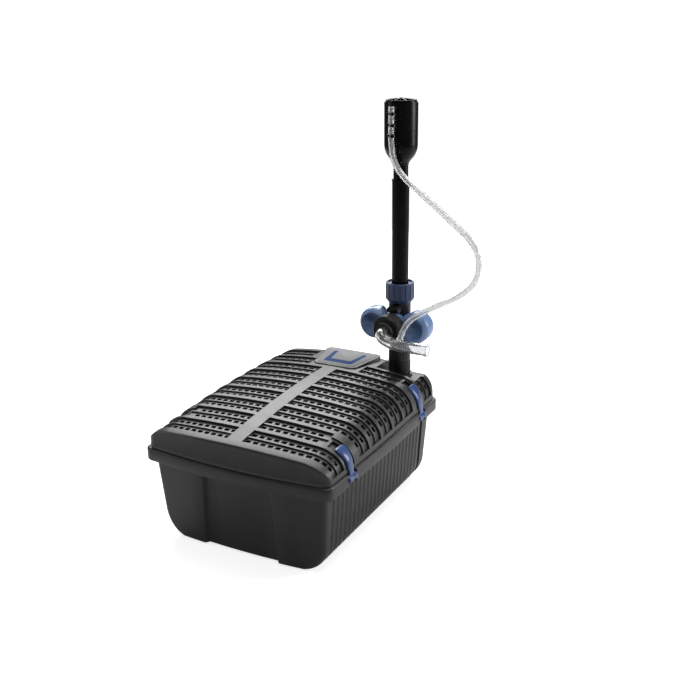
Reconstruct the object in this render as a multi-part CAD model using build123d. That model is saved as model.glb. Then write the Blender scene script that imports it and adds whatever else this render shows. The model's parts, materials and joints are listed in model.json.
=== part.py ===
from build123d import *
import math
import os

# Submersible pond filter: a tapered tub with a slotted, crowned lid held by four clips, a pump,
# a UV clarifier and filter media inside, and a telescopic fountain riser with a flow regulator,
# a clear venturi outlet and an air hose. Millimetres, +Z up, origin under the middle of the tub.

# ---- driving dimensions: casing ----
RIM_HALF_X = 150.7          # rim outline at its corners
RIM_HALF_Y = 179.0
BOW_X = 2.6                 # how far each long side bulges past its corners
BOW_Y = 9.9                 # how far each short side bulges past its corners
SEAM_Z = 140.0              # top of the rim, where the lid sits
RIM_HEIGHT = 19.0
RIM_LIP = 9.0               # how far the rim stands out from the tub walls
FOOT_PROUD = 2.0            # feet below the tub's floor
FOOT_R = 10.0
FOOT_PLACES = ((-82, -130), (82, -130), (-82, 130), (82, 130), (0, 0))
WALL = 3.0
TUB_TOP_X = RIM_HALF_X - RIM_LIP
TUB_SIDE_TAPER = 7.0        # side wall inset from top to the bottom corner
TUB_CORNER_Z = 44.0         # height where the rounded bottom corner starts
TUB_FLOOR_X = 101.0         # half width of the flat floor
TUB_END_TAPER = 8.5         # end wall inset from rim to floor
PANEL_HALF_X = 58.0         # recessed panel in each end wall
PANEL_DEPTH = 4.0
RIB_PITCH = 13.0
RIB_WIDTH = 6.0
RIB_PROUD = 1.8
RIB_COUNT = 22
RIB_START_Y = -160.0
CORNER_GROOVE_Y = 140.0     # deep upright groove ahead of each rear corner
CORNER_GROOVE_WIDTH = 8.0
CORNER_GROOVE_DEPTH = 2.2

# ---- driving dimensions: lid ----
LID_GAP = 0.3               # lid edge above the rim
LID_INSET = 3.4             # lid edge inside the rim outline
LID_WALL = 4.0
CREST_MID_Z = 193.4
CREST_SLOPE = 0.0331
CREST_CURVE = -3.009e-4
CROWN = 5.08e-4             # sideways crown, mm per mm squared
SHOULDER_X = 110.0          # where the crown turns into the rounded shoulder
LID_EDGE_Z = 146.0          # top of the lid's upright edge
BAY_PITCH = 38.86
BAY_FIRST_Y = -154.5        # middle of the front bay
BAY_COUNT = 9
SLOT_OFFSETS = (-7.2, 5.2)  # two slots in each bay, measured from the bay's middle
SLOT_WIDTH = 5.0
SPINE_HALF_X = 12.0
SLOT_SPANS = ((SPINE_HALF_X, 42.0), (46.0, 74.0), (78.0, 106.0), (110.0, 145.0))
PLATFORM_Z = 177.0          # sunken flat for the riser socket
PLATFORM_FRONT_Y = 137.0
LABEL_FRONT_X = 35.0        # half width of the label at its front edge
LABEL_REAR_X = 49.0
LABEL_FRONT_Y = 106.0
LABEL_REAR_Y = 180.0
LABEL_LOW_Z = 194.6
LABEL_TOP_Z = 196.0

# ---- driving dimensions: clips ----
CLIP_FRONT_Y = -117.0
CLIP_REAR_Y = 115.0
CLIP_WIDTH = 22.0
CLIP_THICK = 4.4
CLIP_PIVOT_X = 149.5
CLIP_PIVOT_Z = 131.0
CLIP_KNUCKLE_R = 5.6
CLIP_LIFT = 0.8             # clip above the bottom of its channel
CHANNEL_DEPTH = 2.4
CHANNEL_X = 107.0           # inner end of the clip's channel
FINGER_X = (104.0, 112.5)   # finger hole ahead of the lever's end
CHANNEL_CLEAR = 1.0         # channel wider than the clip, on each side
FINGER_HALF_Y = 8.0
LEVER_ANGLES = (8, 30, 52, 72, 86)  # points of the lever along the lid's shoulder, in degrees
PIN_R = 2.0
RUNNING = 0.05              # radial clearance of running fits

# ---- driving dimensions: riser ----
RISER_X = 92.0
RISER_Y = 158.0
OUTLET_Z = 265.0
TUBE_R = 13.0
TUBE_WALL = 1.8
TUBE_BOTTOM_Z = 286.0
TUBE_TOP_Z = 487.0
SOCKET_R = 17.0
SOCKET_TOP_Z = 205.0
SOCKET_FLANGE_R = 20.8
UNION_TOP_Z = 220.0
BODY_R = 16.0
COLLAR_R = 17.3
COLLAR_TOP_Z = 300.0
NUT_R = 22.6
NUT_BOTTOM_Z = 300.4
NUT_TOP_Z = 331.0
NOZZLE_R = 25.0
NOZZLE_LOW_Z = 538.0
NOZZLE_TOP_Z = 602.0
CAP_TOP_Z = 608.0
NECK_R = TUBE_R - TUBE_WALL - 0.1
WING_LOBE_X = 34.0          # middle of each regulator lobe from the outlet axis
WING_LOBE_R = 25.0
WING_TRAVEL_DEG = 18.0
HOUSING_R = 22.5
HOOD_HALF_X = 9.5           # hood over the outlet barrel, between the lobes
HOUSING_FRONT_Y = 106.0
BARREL_R = 16.0
VENTURI_R = 9.0
VENTURI_BORE_R = 7.2
VENTURI_Y = 84.0
VENTURI_Z = 253.4
VENTURI_END_X = 172.0
BARB_X = 127.0
BARB_Y = 82.5
BARB_Z = 262.6              # top of the clear tube at the barb
BARB_TILT_DEG = 18.0
HOSE_FOOT = 2.8             # barb collar height, where the hose starts
HOSE_D = 9.0

# ---- driving dimensions: inside ----
PUMP_X = 75.0
PUMP_Y = 92.0
PUMP_Z = 52.0
SPIGOT_Y = 140.0            # lower spigot of the riser socket, ahead of the riser
SPIGOT_R = 12.0
SPIGOT_LOW_Z = 118.0
SEAL_R = 0.6                # section radius of the spigot's O-ring
UVC_X = -8.0
UVC_Z = 60.0
SHAFT_R = 3.0
SLEEVE_R = 5.0              # rotor sleeve between magnet and impeller
CAN_R = 13.0                # bore of the motor can
FOAM_TOP_Z = 118.0
TRAY_HALF_X = 100.0
TRAY_LOW_Z = FOOT_PROUD + WALL
TRAY_TOP_Z = 100.0
GLAND_X = -70.0
GLAND_Z = 96.0
GLAND_BORE_R = 3.9
GLAND_R = 7.9
GLAND_INNER_Y = 166.0       # flat boss on the rear wall, inner and outer face
GLAND_OUTER_Y = 176.5

os.makedirs("parts", exist_ok=True)


def save(name, *solids):
    """Write the solids of one named piece to its STEP file."""
    shape = solids[0] if len(solids) == 1 else Compound(children=list(solids))
    export_step(shape, f"parts/{name}.step")


def solid_of(shape):
    """The one solid of a boolean result."""
    found = shape.solids()
    return max(found, key=lambda s: s.volume)


def box(x0, x1, y0, y1, z0, z1):
    """A box from its limits."""
    middle = ((x0 + x1) / 2, (y0 + y1) / 2, (z0 + z1) / 2)
    return Pos(*middle) * Box(x1 - x0, y1 - y0, z1 - z0)


def rod(x, y, z0, z1, radius):
    """An upright cylinder."""
    return Pos(x, y, (z0 + z1) / 2) * Cylinder(radius, z1 - z0)


def pipe(x, y, z0, z1, outer, inner):
    """An upright tube."""
    return rod(x, y, z0, z1, outer) - rod(x, y, z0 - 1, z1 + 1, inner)


def rod_y(x, z, y0, y1, radius):
    """A cylinder along Y."""
    return Pos(x, (y0 + y1) / 2, z) * Rot(90, 0, 0) * Cylinder(radius, y1 - y0)


def rod_x(y, z, x0, x1, radius):
    """A cylinder along X."""
    return Pos((x0 + x1) / 2, y, z) * Rot(0, 90, 0) * Cylinder(radius, x1 - x0)


def bowed_outline(inset, corner):
    """Plan outline of the rim, moved inwards by inset, as a face at z = 0."""
    hx = RIM_HALF_X - inset
    hy = RIM_HALF_Y - inset
    edges = [
        Edge.make_three_point_arc((-hx, -hy, 0), (0, -hy - BOW_Y, 0), (hx, -hy, 0)),
        Edge.make_three_point_arc((hx, -hy, 0), (hx + BOW_X, 0, 0), (hx, hy, 0)),
        Edge.make_three_point_arc((hx, hy, 0), (0, hy + BOW_Y, 0), (-hx, hy, 0)),
        Edge.make_three_point_arc((-hx, hy, 0), (-hx - BOW_X, 0, 0), (-hx, -hy, 0)),
    ]
    face = Face(Wire(edges))
    return face.fillet_2d(corner, face.vertices())


def plan_block(inset, corner, z0, z1):
    """The bowed outline as a block between two heights."""
    return Pos(0, 0, z0) * Solid.extrude(bowed_outline(inset, corner), Vector(0, 0, z1 - z0))


# ---- tub ----
def tub_section(grow):
    """Cross-section of the tub in XZ, grown outwards by grow, as a face at y = 0."""
    top = TUB_TOP_X + grow
    low = TUB_TOP_X - TUB_SIDE_TAPER + grow
    floor_x = TUB_FLOOR_X
    floor_z = FOOT_PROUD - grow
    bend_x = floor_x + 0.76 * (low - floor_x)
    bend_z = floor_z + 0.27 * (TUB_CORNER_Z - floor_z)
    edges = [
        Edge.make_line((-floor_x, 0, floor_z), (floor_x, 0, floor_z)),
        Edge.make_three_point_arc((floor_x, 0, floor_z), (bend_x, 0, bend_z), (low, 0, TUB_CORNER_Z)),
        Edge.make_line((low, 0, TUB_CORNER_Z), (top, 0, SEAM_Z)),
        Edge.make_line((top, 0, SEAM_Z), (-top, 0, SEAM_Z)),
        Edge.make_line((-top, 0, SEAM_Z), (-low, 0, TUB_CORNER_Z)),
        Edge.make_three_point_arc(
            (-low, 0, TUB_CORNER_Z), (-bend_x, 0, bend_z), (-floor_x, 0, floor_z)
        ),
    ]
    return Face(Wire(edges))


def along_y(face, y0, y1):
    """A face at y = 0 as a block from y0 to y1."""
    return Pos(0, y0, 0) * Solid.extrude(face, Vector(0, y1 - y0, 0))


def end_wire(inset, z):
    """Wide plan outline whose ends are bowed, at height z."""
    half = RIM_HALF_Y - RIM_LIP - inset
    wide = 1.4 * RIM_HALF_X
    sag = BOW_Y * (wide / RIM_HALF_X) ** 2
    far = half + BOW_Y
    edge = far - sag
    edges = [
        Edge.make_three_point_arc((-wide, -edge, z), (0, -far, z), (wide, -edge, z)),
        Edge.make_line((wide, -edge, z), (wide, edge, z)),
        Edge.make_three_point_arc((wide, edge, z), (0, far, z), (-wide, edge, z)),
        Edge.make_line((-wide, edge, z), (-wide, -edge, z)),
    ]
    return Wire(edges)


def end_block(inset):
    """Everything between the two bowed, tapered end walls."""
    return Solid.make_loft([end_wire(inset + TUB_END_TAPER, 0.0), end_wire(inset, SEAM_Z)], True)


def tub_body(grow):
    """The tub's outer form, grown or shrunk."""
    return along_y(tub_section(grow), -200, 200) & end_block(-grow)


def side_mirror(shape):
    """The same shape on the other side of the middle plane x = 0."""
    return mirror(shape, Plane.YZ)


def make_tub():
    body = solid_of(tub_body(0))
    panel = box(-PANEL_HALF_X, PANEL_HALF_X, -210, 210, -1, SEAM_Z - RIM_HEIGHT) - end_block(PANEL_DEPTH)
    body = body - panel
    ribbed = tub_section(RIB_PROUD)
    band = box(-160, 160, -200, 200, 14, SEAM_Z - RIM_HEIGHT + 1)
    for k in range(RIB_COUNT):
        y = RIB_START_Y + k * RIB_PITCH
        body = body + (along_y(ribbed, y - RIB_WIDTH / 2, y + RIB_WIDTH / 2) & band)
    groove = box(TUB_TOP_X - 14, 160, 0, CORNER_GROOVE_WIDTH, 24, SEAM_Z - RIM_HEIGHT)
    groove = Pos(0, CORNER_GROOVE_Y - CORNER_GROOVE_WIDTH / 2, 0) * groove
    groove = groove - along_y(tub_section(-CORNER_GROOVE_DEPTH), -200, 200)
    body = body - groove - side_mirror(groove)
    rim = plan_block(0, 12, SEAM_Z - RIM_HEIGHT, SEAM_Z)
    body = body + rim
    cavity = along_y(tub_section(-WALL), -200, 200) & end_block(WALL + PANEL_DEPTH)
    mouth = plan_block(RIM_LIP + WALL, 8, SEAM_Z - 8, SEAM_Z + 1)
    body = body - cavity - mouth
    seal_groove = plan_block(5.4, 8, SEAM_Z - 2.5, SEAM_Z + 1)
    body = body - (seal_groove - plan_block(9.0, 6, SEAM_Z - 3, SEAM_Z + 2))
    notch_half = CLIP_WIDTH / 2 + 0.5
    for y in (CLIP_FRONT_Y, CLIP_REAR_Y):
        low = SEAM_Z - RIM_HEIGHT - 1
        notch = box(CLIP_PIVOT_X - 6.5, 170, y - notch_half, y + notch_half, low, SEAM_Z + 1)
        hole = rod_y(CLIP_PIVOT_X, CLIP_PIVOT_Z, y - 17, y + 17, PIN_R)
        body = body - notch - side_mirror(notch)
        body = body - hole - side_mirror(hole)
    body = body + rod_y(GLAND_X, GLAND_Z, GLAND_INNER_Y, GLAND_OUTER_Y, 14)
    body = body - rod_y(GLAND_X, GLAND_Z, 150, 200, GLAND_R + 0.1)
    for fx, fy in FOOT_PLACES:
        body = body - rod(fx, fy, FOOT_PROUD - 1, FOOT_PROUD + 1.5, FOOT_R)
    return solid_of(body)


def make_feet():
    feet = []
    for fx, fy in FOOT_PLACES:
        foot = rod(fx, fy, 0, FOOT_PROUD + 1.5, FOOT_R)
        feet.append(chamfer(foot.edges().group_by(Axis.Z)[0], 0.8))
    return feet


# ---- lid ----
def crest_z(y):
    """Height of the lid's crest line."""
    return CREST_MID_Z + CREST_SLOPE * y + CREST_CURVE * y * y


def shoulder_point(y, angle_deg, inset):
    """Point on the lid's right shoulder: 0 degrees at the crown's edge, 90 at the upright edge."""
    top = crest_z(y) - CROWN * SHOULDER_X**2 - inset
    reach = RIM_HALF_X - LID_INSET - 0.8 - inset - SHOULDER_X
    drop = top - LID_EDGE_Z
    a = math.radians(angle_deg)
    return (SHOULDER_X + reach * math.sin(a), y, LID_EDGE_Z + drop * math.cos(a))


def lid_wire(y, inset):
    """Arch section of the lid at y."""
    start = shoulder_point(y, 0, inset)
    bend = shoulder_point(y, 45, inset)
    end = shoulder_point(y, 90, inset)
    slope = -2 * CROWN * SHOULDER_X
    base = SEAM_Z - 20
    right = Edge.make_spline([start, bend, end], tangents=[(1, 0, slope), (0, 0, -1)])
    flip = [(-p[0], p[1], p[2]) for p in (end, bend, start)]
    left = Edge.make_spline(flip, tangents=[(0, 0, 1), (1, 0, -slope)])
    crest = Edge.make_three_point_arc(flip[2], (0, y, crest_z(y) - inset), start)
    return Wire([
        Edge.make_line((-end[0], y, base), (end[0], y, base)),
        Edge.make_line((end[0], y, base), end),
        right,
        crest,
        left,
        Edge.make_line(flip[0], (-end[0], y, base)),
    ])


def lid_loft(inset):
    """The crowned top form of the lid."""
    return Solid.make_loft([lid_wire(y, inset) for y in (-200, -100, 0, 100, 200)])


def label_outline(grow, z0, z1):
    """Rounded trapezoid of the label, as a block."""
    front = (LABEL_FRONT_X + grow, LABEL_FRONT_Y - grow)
    rear = (LABEL_REAR_X + grow, LABEL_REAR_Y + grow)
    corners = [(-front[0], front[1]), front, rear, (-rear[0], rear[1])]
    face = Face(Wire.make_polygon([(x, y, z0) for x, y in corners], close=True))
    face = face.fillet_2d(9 + grow, face.vertices())
    return Solid.extrude(face, Vector(0, 0, z1 - z0))


def slot_tools():
    """All intake slots of the lid, as cutting boxes."""
    tools = []
    for bay in range(BAY_COUNT):
        middle = BAY_FIRST_Y + bay * BAY_PITCH
        for side in (-1, 1):
            for x0, x1 in SLOT_SPANS:
                if bay in (1, 7) and x0 > 100:
                    continue
                if bay == 7 and x0 < 40:
                    continue
                if bay == 8 and (x0 < 50 or (side > 0 and x0 < 107)):
                    continue
                for offset in SLOT_OFFSETS:
                    y = middle + offset
                    low = LID_EDGE_Z + 3 if x0 > 107 else SEAM_Z + 20
                    lo_x, hi_x = sorted((side * x0, side * x1))
                    tools.append(box(lo_x, hi_x, y - SLOT_WIDTH / 2, y + SLOT_WIDTH / 2, low, 205))
    return tools


def make_lid():
    outline = plan_block(LID_INSET, 12, SEAM_Z + LID_GAP, 230)
    outer = lid_loft(0) & outline
    flange = plan_block(LID_INSET - 1.0, 12, SEAM_Z + LID_GAP, LID_EDGE_Z)
    pad = label_outline(3, 178, LABEL_LOW_Z) & outline
    body = outer + flange + pad
    low = PLATFORM_Z
    slope = [(58, 0, 192), (68, 0, low), (160, 0, low), (160, 0, 220), (58, 0, 220)]
    dip = Face(Wire.make_polygon(slope, close=True))
    body = body - along_y(dip, PLATFORM_FRONT_Y, 200)
    inner = lid_loft(LID_WALL) & plan_block(LID_INSET + LID_WALL, 9, SEAM_Z - 20, 230)
    inner = inner - box(50, 160, PLATFORM_FRONT_Y - LID_WALL, 200, PLATFORM_Z - LID_WALL, 230)
    body = body - inner
    for y in (CLIP_FRONT_Y, CLIP_REAR_Y):
        half = CLIP_WIDTH / 2 + CHANNEL_CLEAR
        channel = box(CHANNEL_X, 160, y - half, y + half, SEAM_Z - 1, 200) - clip_core(y, -CHANNEL_DEPTH)
        finger = box(*FINGER_X, y - FINGER_HALF_Y, y + FINGER_HALF_Y, 160, 200)
        body = body - channel - side_mirror(channel) - finger - side_mirror(finger)
    body = body - slot_tools()
    body = body - rod(RISER_X, RISER_Y, 150, 200, SOCKET_R)
    mouth = plan_block(RIM_LIP + WALL + 2.7, 6, SEAM_Z - 6, SEAM_Z + 4)
    skirt = plan_block(RIM_LIP + WALL + 0.5, 7.5, SEAM_Z - 5, SEAM_Z + 3) - mouth
    ledge = plan_block(LID_INSET + 2, 10, SEAM_Z + LID_GAP, SEAM_Z + 3) - mouth
    notches = []
    for y in (CLIP_FRONT_Y, CLIP_REAR_Y):
        half = CLIP_WIDTH / 2 + CHANNEL_CLEAR
        notch = box(CLIP_PIVOT_X - 4.5, 160, y - half, y + half, SEAM_Z - 1, SEAM_Z + 8)
        notches += [notch, side_mirror(notch)]
    body = (body + skirt + ledge) - notches
    return solid_of(body)


# ---- clips ----
def clip_core(y, inset):
    """The lid's arch at y, moved outwards by -inset, as a block along Y."""
    return along_y(Face(lid_wire(y, -inset)).moved(Location((0, -y, 0))), -200, 200)


def make_clip(side, y):
    """One clip: a lever over the lid's shoulder, hinged on a pin in the rim."""
    half = CLIP_WIDTH / 2
    depth = CHANNEL_DEPTH - CLIP_LIFT
    under = [shoulder_point(y, a, depth) for a in LEVER_ANGLES]
    over = [shoulder_point(y, a, depth - CLIP_THICK) for a in LEVER_ANGLES]
    inner = [(p[0], 0, p[2]) for p in under]
    outer = [(p[0], 0, p[2]) for p in over]
    low_in = (CLIP_PIVOT_X - 0.5, 0, CLIP_PIVOT_Z + 4)
    low_out = (CLIP_PIVOT_X + CLIP_KNUCKLE_R - 0.4, 0, CLIP_PIVOT_Z + 1.5)
    edges = [
        Edge.make_spline(inner),
        Edge.make_line(inner[-1], low_in),
        Edge.make_line(low_in, low_out),
        Edge.make_line(low_out, outer[-1]),
        Edge.make_spline(outer[::-1]),
        Edge.make_line(outer[0], inner[0]),
    ]
    lever = along_y(Face(Wire(edges)), y - half, y + half)
    knuckle = rod_y(CLIP_PIVOT_X, CLIP_PIVOT_Z, y - half, y + half, CLIP_KNUCKLE_R)
    clip = lever + knuckle - rod_y(CLIP_PIVOT_X, CLIP_PIVOT_Z, y - 30, y + 30, PIN_R + RUNNING)
    clip = solid_of(clip)
    return clip if side > 0 else solid_of(side_mirror(clip))


def make_clip_pins():
    pins = []
    for side in (-1, 1):
        for y in (CLIP_FRONT_Y, CLIP_REAR_Y):
            pins.append(rod_y(side * CLIP_PIVOT_X, CLIP_PIVOT_Z, y - 16, y + 16, PIN_R))
    return pins


# ---- lid fittings ----
def make_seal_ring():
    """Rubber ring in the rim's groove, under the lid's edge."""
    ring = plan_block(5.6, 8, SEAM_Z - 2.4, SEAM_Z + 0.1) - plan_block(8.8, 6, SEAM_Z - 3, SEAM_Z + 2)
    half = CLIP_WIDTH / 2 + 0.5
    for y in (CLIP_FRONT_Y, CLIP_REAR_Y):
        notch = box(CLIP_PIVOT_X - 6.7, 170, y - half, y + half, SEAM_Z - 5, SEAM_Z + 2)
        ring = ring - notch - side_mirror(notch)
    return ring.solids()


def make_label():
    """White label plate on the lid's pad."""
    plate = label_outline(0, LABEL_LOW_Z, LABEL_TOP_Z)
    return solid_of(plate - label_window(LABEL_TOP_Z - 0.8, LABEL_TOP_Z + 1))


def label_window(z0, z1):
    """Recess in the label plate for its coloured inlay."""
    return box(-24, 24, 122, 168, z0, z1)


def make_label_inlay():
    return label_window(LABEL_TOP_Z - 0.8, LABEL_TOP_Z)


def make_riser_socket():
    """Ribbed socket pipe in the lid, with an offset chamber and spigot below that plug into the pump."""
    chamber_top = PLATFORM_Z - LID_WALL
    body = rod(RISER_X, RISER_Y, 150, SOCKET_TOP_Z, SOCKET_R)
    body = body + rod(RISER_X, RISER_Y, PLATFORM_Z, PLATFORM_Z + 3.5, SOCKET_FLANGE_R)
    for k in range(6):
        z = PLATFORM_Z + 6.5 + k * 3.4
        body = body + rod(RISER_X, RISER_Y, z, z + 1.7, SOCKET_R + 0.9)
    half = SPIGOT_R + 2
    body = body + box(RISER_X - half, RISER_X + half, SPIGOT_Y, RISER_Y, 150, chamber_top)
    body = body + rod(RISER_X, SPIGOT_Y, 150, chamber_top, SPIGOT_R + 2)
    body = body + rod(RISER_X, SPIGOT_Y, SPIGOT_LOW_Z, 151, SPIGOT_R)
    body = body - rod(RISER_X, RISER_Y, 181, SOCKET_TOP_Z + 1, 14.6)
    body = body - rod(RISER_X, RISER_Y, 153, 182, 13.3)
    half = SPIGOT_R - 2
    body = body - box(RISER_X - half, RISER_X + half, SPIGOT_Y, RISER_Y, 153, chamber_top - 3)
    body = body - rod(RISER_X, SPIGOT_Y, SPIGOT_LOW_Z - 1, chamber_top - 3, SPIGOT_R - 2)
    groove = Pos(RISER_X, SPIGOT_Y, SPIGOT_LOW_Z + 6) * Torus(SPIGOT_R - 0.4, SEAL_R + 0.02)
    return solid_of(body - groove)


def make_socket_seal():
    """O-ring in the spigot's groove, where it plugs into the pump's duct."""
    return Pos(RISER_X, SPIGOT_Y, SPIGOT_LOW_Z + 6) * Torus(SPIGOT_R - 0.4, SEAL_R)


# ---- riser ----
def make_riser_body():
    """T-body: upright pipe with a collar, a spigot below and an outlet barrel to the front."""
    body = rod(RISER_X, RISER_Y, UNION_TOP_Z - 14.5, COLLAR_TOP_Z, BODY_R)
    body = body + rod(RISER_X, RISER_Y, 183, UNION_TOP_Z, 14.55)
    body = body + rod(RISER_X, RISER_Y, 282, COLLAR_TOP_Z, COLLAR_R)
    body = body + rod(RISER_X, RISER_Y, COLLAR_TOP_Z, NUT_TOP_Z - 6, 15.6)
    body = body + rod_y(RISER_X, OUTLET_Z, HOUSING_FRONT_Y + 6.1, RISER_Y, BARREL_R)
    hood = box(RISER_X - HOOD_HALF_X, RISER_X + HOOD_HALF_X, 130, RISER_Y, OUTLET_Z + 22.4, 297)
    hood = chamfer(hood.edges().filter_by(Axis.Y).group_by(Axis.Z)[-1], 3.5)
    body = body + hood
    body = body - rod(RISER_X, RISER_Y, 180, NUT_TOP_Z + 5, TUBE_R + RUNNING)
    body = body - rod_y(RISER_X, OUTLET_Z, HOUSING_FRONT_Y, RISER_Y, 11.5)
    return solid_of(body)


def make_union_collar():
    """Swivel collar that keeps the riser in its socket."""
    ring = pipe(RISER_X, RISER_Y, SOCKET_TOP_Z + 0.3, UNION_TOP_Z - 0.5, COLLAR_R, BODY_R)
    grooves = []
    for k in range(24):
        a = math.radians(15 * k)
        x = RISER_X + (COLLAR_R + 0.4) * math.cos(a)
        y = RISER_Y + (COLLAR_R + 0.4) * math.sin(a)
        grooves.append(rod(x, y, SOCKET_TOP_Z + 2, UNION_TOP_Z, 0.9))
    return solid_of(ring - grooves)


def make_outlet_housing():
    """Black housing screwed on the barrel's front end."""
    body = rod_y(RISER_X, OUTLET_Z, HOUSING_FRONT_Y, 127.5, HOUSING_R)
    body = chamfer(body.edges().group_by(Axis.Y)[0], 2.0)
    body = body - rod_y(RISER_X, OUTLET_Z, 112, 128, BARREL_R)
    body = body - rod_y(RISER_X, OUTLET_Z, 100, 130, 11.6)
    return solid_of(body)


def make_outlet_ring():
    """Inner nipple that the clear outlet tube plugs over."""
    ring = rod_y(RISER_X, OUTLET_Z, 98, 111.9, 11.5) - rod_y(RISER_X, OUTLET_Z, 97, 113, VENTURI_R + RUNNING)
    lip = rod_y(RISER_X, OUTLET_Z, 98, 102, 14.5) - rod_y(RISER_X, OUTLET_Z, 97, 113, VENTURI_R + RUNNING)
    return solid_of(ring + lip)


def make_regulator():
    """Two-lobed regulator wing, turning on the outlet barrel behind the housing."""
    wing = rod_y(RISER_X, OUTLET_Z, 128, 139.5, 21.5)
    for side in (-1, 1):
        lobe = rod_y(RISER_X + side * WING_LOBE_X, OUTLET_Z, 128, 165, WING_LOBE_R)
        lobe = fillet(lobe.edges(), 6.0)
        dish = Pos(RISER_X + side * (WING_LOBE_X + 3), 121, OUTLET_Z) * Sphere(13.5)
        wing = wing + (lobe - dish)
    for turn in (-WING_TRAVEL_DEG - 2, -9, 0, 9, WING_TRAVEL_DEG + 2):
        clear = Rot(0, turn, 0) * Box(2 * COLLAR_R + 1.2, 60, 90)
        wing = wing - (Pos(RISER_X, RISER_Y - COLLAR_R - 0.6 + 30, OUTLET_Z) * clear)
    wing = wing - rod_y(RISER_X, OUTLET_Z, 120, 142, BARREL_R + RUNNING)
    return solid_of(wing)


def make_valve_disc():
    """Half-open shutter disc that turns with the regulator inside the barrel."""
    disc = rod_y(RISER_X, OUTLET_Z, 130, 133, 11.4)
    window = box(RISER_X - 8, RISER_X + 8, 125, 135, OUTLET_Z - 8, OUTLET_Z - 1.5)
    return solid_of(disc - window)


def make_clamp_nut():
    """Fluted clamp nut that grips the telescopic tube."""
    nut = rod(RISER_X, RISER_Y, NUT_BOTTOM_Z, NUT_TOP_Z, NUT_R)
    nut = chamfer(nut.edges().group_by(Axis.Z)[0], 5.0, 3.2)
    nut = chamfer(nut.edges().group_by(Axis.Z)[-1], 1.0)
    flutes = []
    for k in range(16):
        a = 2 * math.pi * k / 16
        x = RISER_X + (NUT_R + 1.0) * math.cos(a)
        y = RISER_Y + (NUT_R + 1.0) * math.sin(a)
        flutes.append(rod(x, y, NUT_BOTTOM_Z - 1, NUT_TOP_Z - 3, 2.2))
    nut = nut - flutes
    nut = nut - rod(RISER_X, RISER_Y, NUT_BOTTOM_Z - 1, NUT_TOP_Z - 5.5, 15.65)
    nut = nut - rod(RISER_X, RISER_Y, NUT_TOP_Z - 6, NUT_TOP_Z + 1, TUBE_R + 0.6)
    nut = nut - (rod(RISER_X, RISER_Y, NUT_TOP_Z - 2.5, NUT_TOP_Z + 1, NUT_R - 3.5))
    return solid_of(nut)


def venturi_path():
    """Centre line of the clear outlet tube."""
    return [
        (RISER_X, 111.9, OUTLET_Z),
        (RISER_X, VENTURI_Y - 1, OUTLET_Z - 1.0),
        (RISER_X + 24, VENTURI_Y - 2, VENTURI_Z + 0.5),
        (VENTURI_END_X, VENTURI_Y, VENTURI_Z - 0.8),
    ]


def tube_along(points, radii, outer, inner=None):
    """A round tube along straight runs joined by tangent arcs."""
    path = FilletPolyline(*points, radius=radii)
    start = path @ 0
    direction = path % 0
    plane = Plane(origin=start, z_dir=direction)
    tube = sweep(plane * Circle(outer), path=path)
    if inner:
        tube = tube - sweep(plane * Circle(inner), path=path)
    return solid_of(tube), path.length


def make_venturi_tube():
    """Clear outlet tube: a bend, then a straight leg with a flared mouth."""
    points = venturi_path()
    radii = corner_radii(points)
    tube, _ = tube_along(points, radii, VENTURI_R, VENTURI_BORE_R)
    z = VENTURI_Z - 0.8
    flare = rod_x(VENTURI_Y, z, VENTURI_END_X - 4, VENTURI_END_X, VENTURI_R + 0.9)
    flare = flare - rod_x(VENTURI_Y, z, VENTURI_END_X - 6, VENTURI_END_X + 1, VENTURI_BORE_R + 0.2)
    tube = tube + flare
    tube = tube - tilted(0, 20, 2.0)
    return solid_of(tube)


def tilted(low, high, radius):
    """A cylinder along the barb's axis, from low to high above its foot."""
    axis = Vector(math.sin(math.radians(BARB_TILT_DEG)), 0, math.cos(math.radians(BARB_TILT_DEG)))
    foot = Vector(BARB_X, BARB_Y, BARB_Z) + axis * low
    return Plane(origin=foot, z_dir=axis) * (Pos(0, 0, (high - low) / 2) * Cylinder(radius, high - low))


def make_hose_barb():
    """Barbed nipple on top of the clear tube."""
    barb = tilted(0, 15, 3.0) + tilted(-3, HOSE_FOOT, 5.0) - tilted(-5, 20, 1.8)
    points = venturi_path()
    clear_tube, _ = tube_along(points, corner_radii(points), VENTURI_R)
    return solid_of(barb - clear_tube)


# Route of the air hose, from the barb up to the nozzle's clips.
HOSE_ROUTE = [
    (127.8, 82.5, 265.2),
    (133.7, 82.5, 283.3),
    (146.3, 82.6, 298.8),
    (165.4, 82.8, 311.6),
    (188.0, 83.2, 324.6),
    (214.0, 84.0, 337.5),
    (236.5, 85.0, 355.5),
    (245.4, 86.5, 372.3),
    (247.1, 88.5, 391.2),
    (241.2, 91.0, 409.3),
    (225.5, 94.0, 427.4),
    (199.5, 99.0, 444.5),
    (172.0, 104.0, 463.0),
    (144.0, 109.5, 482.0),
    (117.0, 115.5, 498.5),
    (98.5, 121.0, 517.5),
    (91.3, 125.2, 541.0),
    (91.0, 125.5, 569.5),
    (91.2, 125.4, 597.5),
]


def corner_radii(points):
    """Largest arc at each corner that its two runs allow."""
    radii = []
    for a, b, c in zip(points, points[1:], points[2:]):
        before = Vector(*b) - Vector(*a)
        after = Vector(*c) - Vector(*b)
        half_turn = math.radians(before.get_angle(after)) / 2
        radii.append(0.45 * min(before.length, after.length) / math.tan(half_turn))
    return radii


def make_air_hose():
    radii = corner_radii(HOSE_ROUTE)
    hose, length = tube_along(HOSE_ROUTE, radii, HOSE_D / 2)
    print("hose radii", [round(r, 1) for r in radii])
    section = math.pi * HOSE_D**2 / 4
    print("hose length", round(length, 1), "volume ratio", round(hose.volume / (section * length), 4))
    return solid_of(hose - tilted(-5, 15, 3.0) - tilted(-6, HOSE_FOOT, 6.5))


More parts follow.
